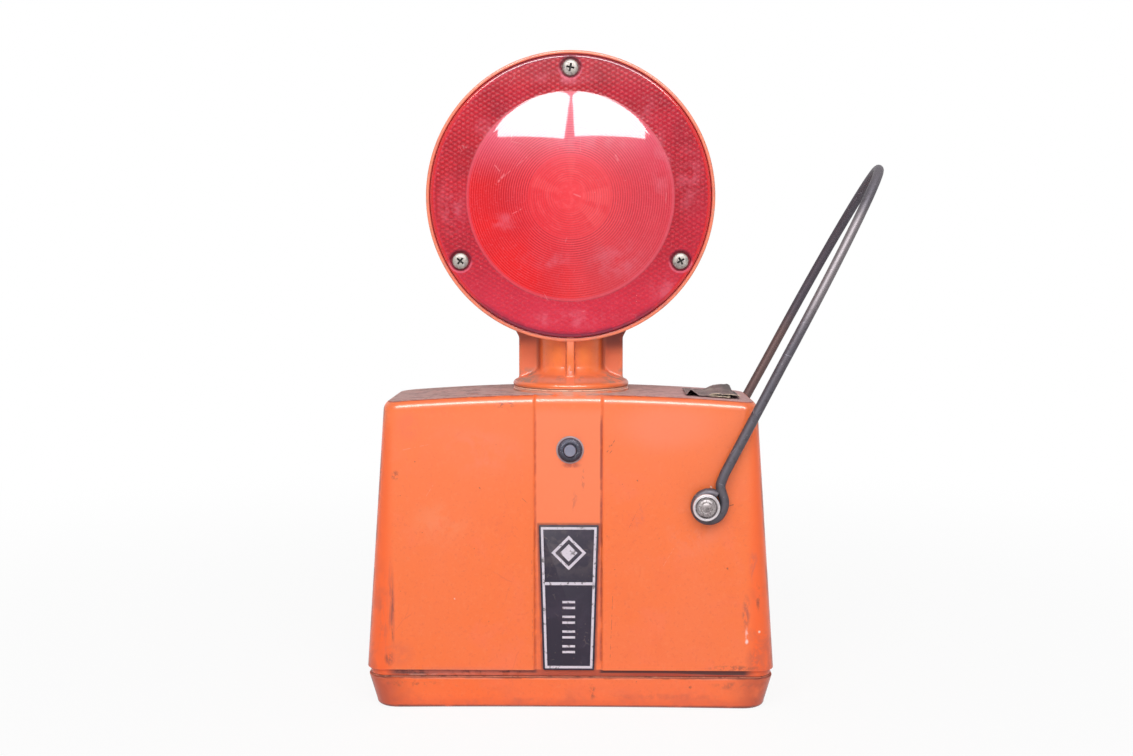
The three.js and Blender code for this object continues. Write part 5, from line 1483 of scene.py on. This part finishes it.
def draw_button():
    back = strip_forward(BUTTON["height"])
    centre = (0, BUTTON["height"])
    radius, front = BUTTON["ring_radius"], BUTTON["ring_forward"]
    # Profiles of (radius, distance in front of the strip)
    ring = [(BUTTON["bush_bore"], 1.2), (7.0, 1.2), (7.9, 1.3), (7.9, 2.0), (7.5, 2.9), (6.6, 3.7), (5.9, front - 0.15),
            (5.4, front), (4.7, front), (BUTTON["bore"], front - 0.35), (BUTTON["bore"], front - BUTTON["lip"]),
            (BUTTON["bush_bore"], front - BUTTON["lip"]), (BUTTON["bush_bore"], 1.2)]
    fit_round("button_ring_nut", ring, 64, centre, back, 1, 40,
              ("case", "rubber", MATERIALS["ring"], "button_ring"), closed=True)
    flange = [(BUTTON["bush_bore"], 0.35), (radius - 0.2, 0.35), (radius, 0.55), (radius, 0.95), (radius - 0.25, 1.15),
              (7.8, 1.2), (BUTTON["bush_bore"], 1.2), (BUTTON["bush_bore"], 0.35)]
    fit_round("button_flange", flange, 64, centre, back, 1, 40,
              ("case", "rubber", MATERIALS["ring edge"]), closed=True)
    plunger = [(5.3, -10.7), (5.4, -10.6), (5.4, -9.4), (5.3, -9.3), (3.85, -9.2), (3.85, 5.3), (3.7, 5.75),
               (3.35, 6.0), (2.9, 5.96), (0.3, 5.85)]
    fit_round("button_cap", plunger, 48, centre, back, 1, 40,
              ("button", "grey_plastic", MATERIALS["plunger"], "button_plunger"))


# Plate on the centre strip


def lean_back(piece):
    """Moves a flat piece, drawn upright at the strip's foot, to the plate's centre and leans it on the strip."""
    start_edit(piece)
    select_all()
    move((PLATE["centre"], 0, 0))
    shape = bmesh.from_edit_mesh(piece.data)
    heights = sorted({round(vertex.co.z / MM, 3) for vertex in shape.verts})
    foot = strip_forward(PLATE["bottom"])
    for z in heights:
        select_vertices(piece, lambda v: abs(v.z - z) < 0.0006)
        move((0, foot - strip_forward(z), 0))
    end_edit()


def plate_half_width(height):
    share = (height - PLATE["bottom"]) / (PLATE["top"] - PLATE["bottom"])
    return (PLATE["bottom_width"] + (PLATE["top_width"] - PLATE["bottom_width"]) * share) / 2


def plate_foot():
    return strip_forward(PLATE["bottom"]) + PLATE["lift"]


def plate_front():
    return plate_foot() + PLATE["thickness"]


def raise_line(piece, width):
    """Raises the selected face from the plate, or only a border of this width round it."""
    if width:
        hollow_border(width)
    extrude((0, -PLATE["relief"] - PLATE["sunk"], 0))
    tidy_shape()
    end_edit()
    return piece


def line_frame(name, inset, width):
    """A border that follows the plate's edge, raised a little from it."""
    low, high = PLATE["bottom"] + inset, PLATE["top"] - inset
    piece = sheet(name, 2 * (plate_half_width(low) - inset), high - low,
                  (0, -(plate_front() - PLATE["sunk"]), (low + high) / 2), upright=True)
    select_vertices(piece, lambda v: v.z > (low + high) / 2)
    stretch(((plate_half_width(high) - inset) / (plate_half_width(low) - inset), 1, 1))
    select_all()
    return raise_line(piece, width)


def line_bar(half_width, height, width):
    front = plate_front()
    return block("bar", (-half_width, -front - PLATE["relief"], height - width / 2),
                 (half_width, -front + PLATE["sunk"], height + width / 2))


def line_diamond(reach, width, height):
    """A four-sided outline stood on its corner."""
    place = metres((0, -(plate_front() - PLATE["sunk"]), height))
    bpy.ops.mesh.primitive_circle_add(vertices=4, radius=reach * MM, fill_type="NGON", location=place,
                                      rotation=(QUARTER, 0, 0))
    return raise_line(begin("diamond"), width)


def draw_plate():
    middle = (PLATE["top"] + PLATE["bottom"]) / 2
    piece = sheet("plate_face", PLATE["bottom_width"], PLATE["top"] - PLATE["bottom"], (0, -plate_foot(), middle),
                  upright=True)
    select_vertices(piece, lambda v: v.z > middle)
    stretch((PLATE["top_width"] / PLATE["bottom_width"], 1, 1))
    select_all()
    round_corners(0.9, 4)
    extrude((0, -PLATE["thickness"], 0))
    tidy_shape()
    end_edit()
    lean_back(piece)
    soften_edges(piece, 0.25)
    smooth(piece)
    finish_piece(piece, "case", "plate_black", MATERIALS["plate"], "front_plate")

    divider = PLATE["divider"]
    inner = plate_half_width(divider) - PLATE["margin"] - PLATE["line"] / 2
    parts = [
        line_frame("plate_lines", PLATE["margin"], PLATE["line"]),
        line_bar(inner, divider, 1.9),
        line_diamond(11.2, 1.7, PLATE["emblem"]),
        line_diamond(5.6, 0, PLATE["emblem"]),
    ]
    for z in PLATE["bars"]:
        parts += [line_bar(4.1, z + step, 1.45) for step in (-1.9, 1.9)]
    lines = join(parts, "plate_lines")
    lean_back(lines)
    smooth(lines)
    finish_piece(lines, "case", "plate_black", MATERIALS["plate line"])


# Bail and its pivots


def bail_stations():
    """The wire's centre line, eye to eye, in the case's frame."""
    spread = half_depth_at(PIVOT["height"]) + BAIL["forward_of_face"]
    arch_start = BAIL["reach"] - BAIL["arch_rise"]
    # The bend from the eye into the leg, in shares of the eye's radius
    jog = [(0.95, 0.5), (0.74, 0.94), (0.38, 1.3), (0.04, 1.68), (-0.1, 2.2)]

    def eye(side):
        angles = [BAIL["eye_cut"] * (1 - i / BAIL["eye_steps"]) for i in range(BAIL["eye_steps"] + 1)]
        shares = [(math.cos(angle), math.sin(angle)) for angle in angles] + jog
        return [(BAIL["eye_across"] + BAIL["eye_radius"] * across, side * spread,
                 BAIL["eye_along"] + BAIL["eye_radius"] * along) for across, along in shares]

    def leg(side, low, high):
        return [(low + (high - low) * s, side * spread, arch_start * s) for s in (0.3, 0.5, 0.75)]

    arch = []
    for i in range(BAIL["arch_steps"] + 1):
        angle = math.pi * i / BAIL["arch_steps"]
        share = (1 - math.cos(angle)) / 2
        arch.append((BAIL["front_high"] + (BAIL["rear_high"] - BAIL["front_high"]) * share,
                     -spread * math.cos(angle), arch_start + BAIL["arch_rise"] * math.sin(angle)))
    rear = eye(1) + leg(1, BAIL["rear_low"], BAIL["rear_high"])
    line = eye(-1) + leg(-1, BAIL["front_low"], BAIL["front_high"]) + arch + list(reversed(rear))
    cos, sin = math.cos(BAIL["lean"]), math.sin(BAIL["lean"])
    return [(PIVOT["x"] + x * cos + z * sin, y, PIVOT["height"] - x * sin + z * cos) for x, y, z in line]


def draw_bail():
    bpy.ops.curve.primitive_nurbs_path_add()
    path = bpy.context.object
    path.data.splines.clear()
    stations = bail_stations()
    spline = path.data.splines.new("BEZIER")
    spline.bezier_points.add(len(stations) - 1)
    for point, place in zip(spline.bezier_points, stations):
        point.co = [MM * p for p in place]
        point.handle_left_type = point.handle_right_type = "AUTO"
    path.data.resolution_u = 3
    path.data.bevel_depth = BAIL["wire"] / 2 * MM
    path.data.bevel_resolution = 5
    path.data.use_fill_caps = True
    path.data.twist_mode = "MINIMUM"
    activate(path)
    bpy.ops.object.convert(target="MESH")
    piece = begin("bail_rod")
    tidy_shape()
    end_edit()
    smooth(piece, 50)
    finish_piece(piece, "bail", "bail_steel", MATERIALS["bail"], "bail_wire")


def draw_pivots():
    reach = half_depth_at(PIVOT["height"])
    for side, name in ((1, "front"), (-1, "rear")):
        centre = (PIVOT["x"], PIVOT["height"])
        back = PIVOT["washer_back"] + 0.3
        cup = [(3.1, back), (8.2, back), (8.6, back + 0.4), (8.65, back + 2.2), (8.5, back + 2.9), (8.1, back + 3.2),
               (7.6, back + 3.15), (7.3, back + 2.8), (7.1, back + 2.9), (6.9, back + 2.5), (6.6, back + 1.6),
               (3.1, back + 1.5), (3.1, back)]
        fit_round(f"pivot_cup_{name}", cup, 72, centre, reach, side, 30,
                  ("case", "zinc", MATERIALS["washer"], f"pivot_cup_washer_{name}"), closed=True)
        seat = back + 1.8
        bolt = [(2.8, seat - 6), (2.8, seat), (5.3, seat), (5.5, seat + 0.25), (5.5, seat + 0.9), (5.2, seat + 1.35),
                (4.6, seat + 1.65), (3.6, seat + 1.85), (3.2, seat + 1.7), (2.9, seat + 1.95), (1.6, seat + 2.2),
                (0.3, seat + 2.3)]
        fit_round(f"pivot_head_{name}", bolt, 48, centre, reach, side, 30,
                  ("case", "zinc", MATERIALS["washer"], f"pivot_bolt_{name}"))


# Tape on the top


def rise(value, points):
    """The height at a value on a line through points of (value, height)."""
    for (a, low), (b, high) in zip(points, points[1:]):
        if value <= b:
            return low + (high - low) * max(0.0, value - a) / (b - a)
    return points[-1][1]


def tape_lift(along, back):
    """How far the tape stands off the top, from its place as shares along it and towards the rear."""
    tent = rise(along, [(0, 0), (0.08, 1), (0.23, 0), (1, 0)]) * rise(back, [(0, 1), (0.12, 0.85), (0.45, 0), (1, 0)])
    kink = (rise(along, [(0, 0), (0.4, 0), (0.6, 0.72), (0.86, 1), (0.89, 0.9), (0.93, 0), (1, 0)])
            * rise(back, [(0, 0), (0.35, 0), (0.6, 0.55), (0.9, 1), (1, 1)]))
    gap = rise(along, [(0, 0), (0.34, 0), (0.52, 0.8), (0.66, 0.75), (0.78, 1), (1, 0.7)])
    front = rise(back, [(0, 1), (0.25, 0.25), (0.4, 0), (1, 0)])
    return TAPE["tent"] * tent + TAPE["kink"] * kink + TAPE["gap"] * gap * front


def tape_sheet(left, length, front, depth, cells, lift):
    """A thin sheet that follows the top and stands off it by lift(share along, share towards the rear)."""
    bpy.ops.mesh.primitive_grid_add(x_subdivisions=cells[0], y_subdivisions=cells[1], size=1,
                                    location=metres((left + length / 2, front + depth / 2, 0)))
    piece = begin("tape_remnant", (length * MM, depth * MM, 1))
    step = 0.2

    def level_of(place):
        base = crown_lift(place.x) + CASE["corner_height"] + 0.35
        return round((base + lift((place.x - left) / length, (place.y - front) / depth)) / step)

    shape = bmesh.from_edit_mesh(piece.data)
    for level in sorted({level_of(vertex.co / MM) for vertex in shape.verts}):
        select_vertices(piece, lambda v: abs(v.z) < 0.01 and level_of(v) == level)
        move((0, 0, level * step))

    def frayed(v):
        return min(v.x - left, left + length - v.x, v.y - front, front + depth - v.y) < 1.2

    select_vertices(piece, frayed)
    bpy.ops.transform.vertex_random(offset=0.5 * MM, seed=7)
    end_edit()
    return piece


def draw_tape():
    """A stiff strip: one sheet lifted at one corner and kinked at the other, over a scrap of a second one."""
    upper = tape_sheet(TAPE["left"], TAPE["length"], TAPE["front"], TAPE["depth"], (44, 34), tape_lift)
    lower = tape_sheet(SCRAP["left"], SCRAP["length"], SCRAP["front"], SCRAP["depth"], (18, 12),
                       lambda along, back: 0.0)
    piece = join([upper, lower], "tape_remnant")
    modify(piece, "SMOOTH", factor=0.4, iterations=2, use_z=True)
    ripple = bpy.data.textures.new("tape ripple", "CLOUDS")
    ripple.noise_scale = 0.006
    modify(piece, "DISPLACE", texture=ripple, strength=0.5 * MM, mid_level=0.2, direction="Z")
    modify(piece, "SOLIDIFY", thickness=TAPE["thickness"] * MM, offset=1)
    smooth(piece, 40)
    finish_piece(piece, "case", "tape", MATERIALS["tape"], "tape_strip")


# Inner and small pieces keep their solids


def dress_solids():
    dresses = {
        "rubber": ["lens_seal"],
        "seam": ["tray_seal"],
        "swivel seal": ["swivel_seal"],
        "zinc": ["spigot_nut", "switch_nut", "button_spring", "power_transistor", "pivot_nut_front", "pivot_nut_rear",
                 "pivot_backing_washer_front", "pivot_backing_washer_rear"],
        "bail": ["pivot_inner_washer_front", "pivot_inner_washer_rear"],
        "black": ["switch_body", "lamp_receptacle", "lamp_socket", "lamp_plug"],
        "brass": ["contact_strip_link", "contact_strip_left", "contact_strip_right", "bulb_base"],
        "mirror": ["reflector"],
        "glass": ["bulb_glass"],
        "board": ["circuit_board", "resistor"],
        "battery": ["battery_left", "battery_right", "capacitor"],
        "cable": ["lamp_cable", "switch_lead_left", "switch_lead_right"],
    }
    for corner in CORNERS:
        dresses["zinc"] += [f"tray_screw_{corner}", f"board_screw_{corner}"]
    for side in ("left", "right"):
        dresses["zinc"] += [f"battery_spring_{side}_centre", f"battery_spring_{side}_corner"]
    for finish, names in dresses.items():
        for name in names:
            solid = nodes[name]
            solid.data.materials.clear()
            solid.data.materials.append(MATERIALS[finish])


# Stage, lights and camera


def seen_directly(tree):
    """1 for rays that show the background itself: from the camera, in a mirror or through glass."""
    path = put(tree, "ShaderNodeLightPath").outputs
    mirrored = calculate("MAXIMUM", path["Is Glossy Ray"], path["Is Transmission Ray"])
    return calculate("MAXIMUM", path["Is Camera Ray"], mirrored)


def make_stage():
    """A pale floor that keeps the shadow near the light and fades to plain white further out."""
    bpy.ops.mesh.primitive_plane_add(size=ROOM["floor"], location=(0, 0, 0))
    floor = bpy.context.object
    floor.name = "floor"
    material = bpy.data.materials.new("pale floor")
    material.use_nodes = True
    tree = material.node_tree
    shader = tree.nodes["Principled BSDF"]
    shader.inputs["Base Color"].default_value = (ROOM["grey"], ROOM["grey"], ROOM["grey"], 1)
    shader.inputs["Roughness"].default_value = 0.9
    glow = put(tree, "ShaderNodeEmission", {"Color": (1, 1, 1, 1), "Strength": 1.0})
    place = put(tree, "ShaderNodeTexCoord").outputs["Object"]
    distance = vector("LENGTH", place)
    white = calculate("MULTIPLY_ADD", ramp(distance, ROOM["near"], ROOM["far"]), 0.1, 0.9)
    share = calculate("MULTIPLY", seen_directly(tree), white)
    mix = put(tree, "ShaderNodeMixShader", {0: share, 1: shader.outputs[0], 2: glow.outputs[0]})
    tree.links.new(mix.outputs[0], tree.nodes["Material Output"].inputs["Surface"])
    floor.data.materials.append(material)


def make_world():
    world = bpy.data.worlds.new("studio")
    bpy.context.scene.world = world
    world.use_nodes = True
    tree = world.node_tree
    background = tree.nodes["Background"]
    strength = calculate("MULTIPLY_ADD", seen_directly(tree), 1 - ROOM["soft_light"], ROOM["soft_light"])
    background.inputs["Color"].default_value = (1, 1, 1, 1)
    tree.links.new(strength, background.inputs["Strength"])


def add_lamp(name, middle, size, roll, radiance, lit):
    """A lamp in the tilted plane of the windows. It lights either the colours or only the gloss."""
    light = bpy.data.lights.new(name, "AREA")
    light.shape = "RECTANGLE"
    light.size, light.size_y = size
    light.energy = radiance * math.pi * size[0] * size[1]
    lamp = bpy.data.objects.new(name, light)
    bpy.context.scene.collection.objects.link(lamp)
    lamp.location = middle
    turn = Matrix.Rotation(ROOM["tilt"], 3, "X") @ Matrix.Rotation(math.radians(roll), 3, "Z")
    lamp.rotation_euler = turn.to_euler()
    lamp.visible_diffuse = lit == "colour"
    lamp.visible_glossy = lit == "gloss"


def make_lights():
    for name, values in LAMPS.items():
        add_lamp(name, *values)


def make_camera():
    data = bpy.data.cameras.new("camera")
    data.sensor_width = SENSOR
    data.lens = SENSOR * CAMERA["focal"] / CAMERA["photo_width"]
    camera = bpy.data.objects.new("camera", data)
    bpy.context.scene.collection.objects.link(camera)
    camera.location = metres(CAMERA["place"])
    camera.rotation_euler = (math.radians(90 - CAMERA["down"]), 0, math.radians(CAMERA["turn"]))
    bpy.context.scene.camera = camera


make_camera()
make_world()
make_lights()
make_stage()
draw_case()
draw_tray()
draw_bowl()
draw_neck()
draw_lens()
draw_lens_screws()
draw_button()
draw_plate()
draw_bail()
draw_pivots()
draw_tape()
dress_solids()
bpy.context.scene.view_settings.view_transform = "Standard"
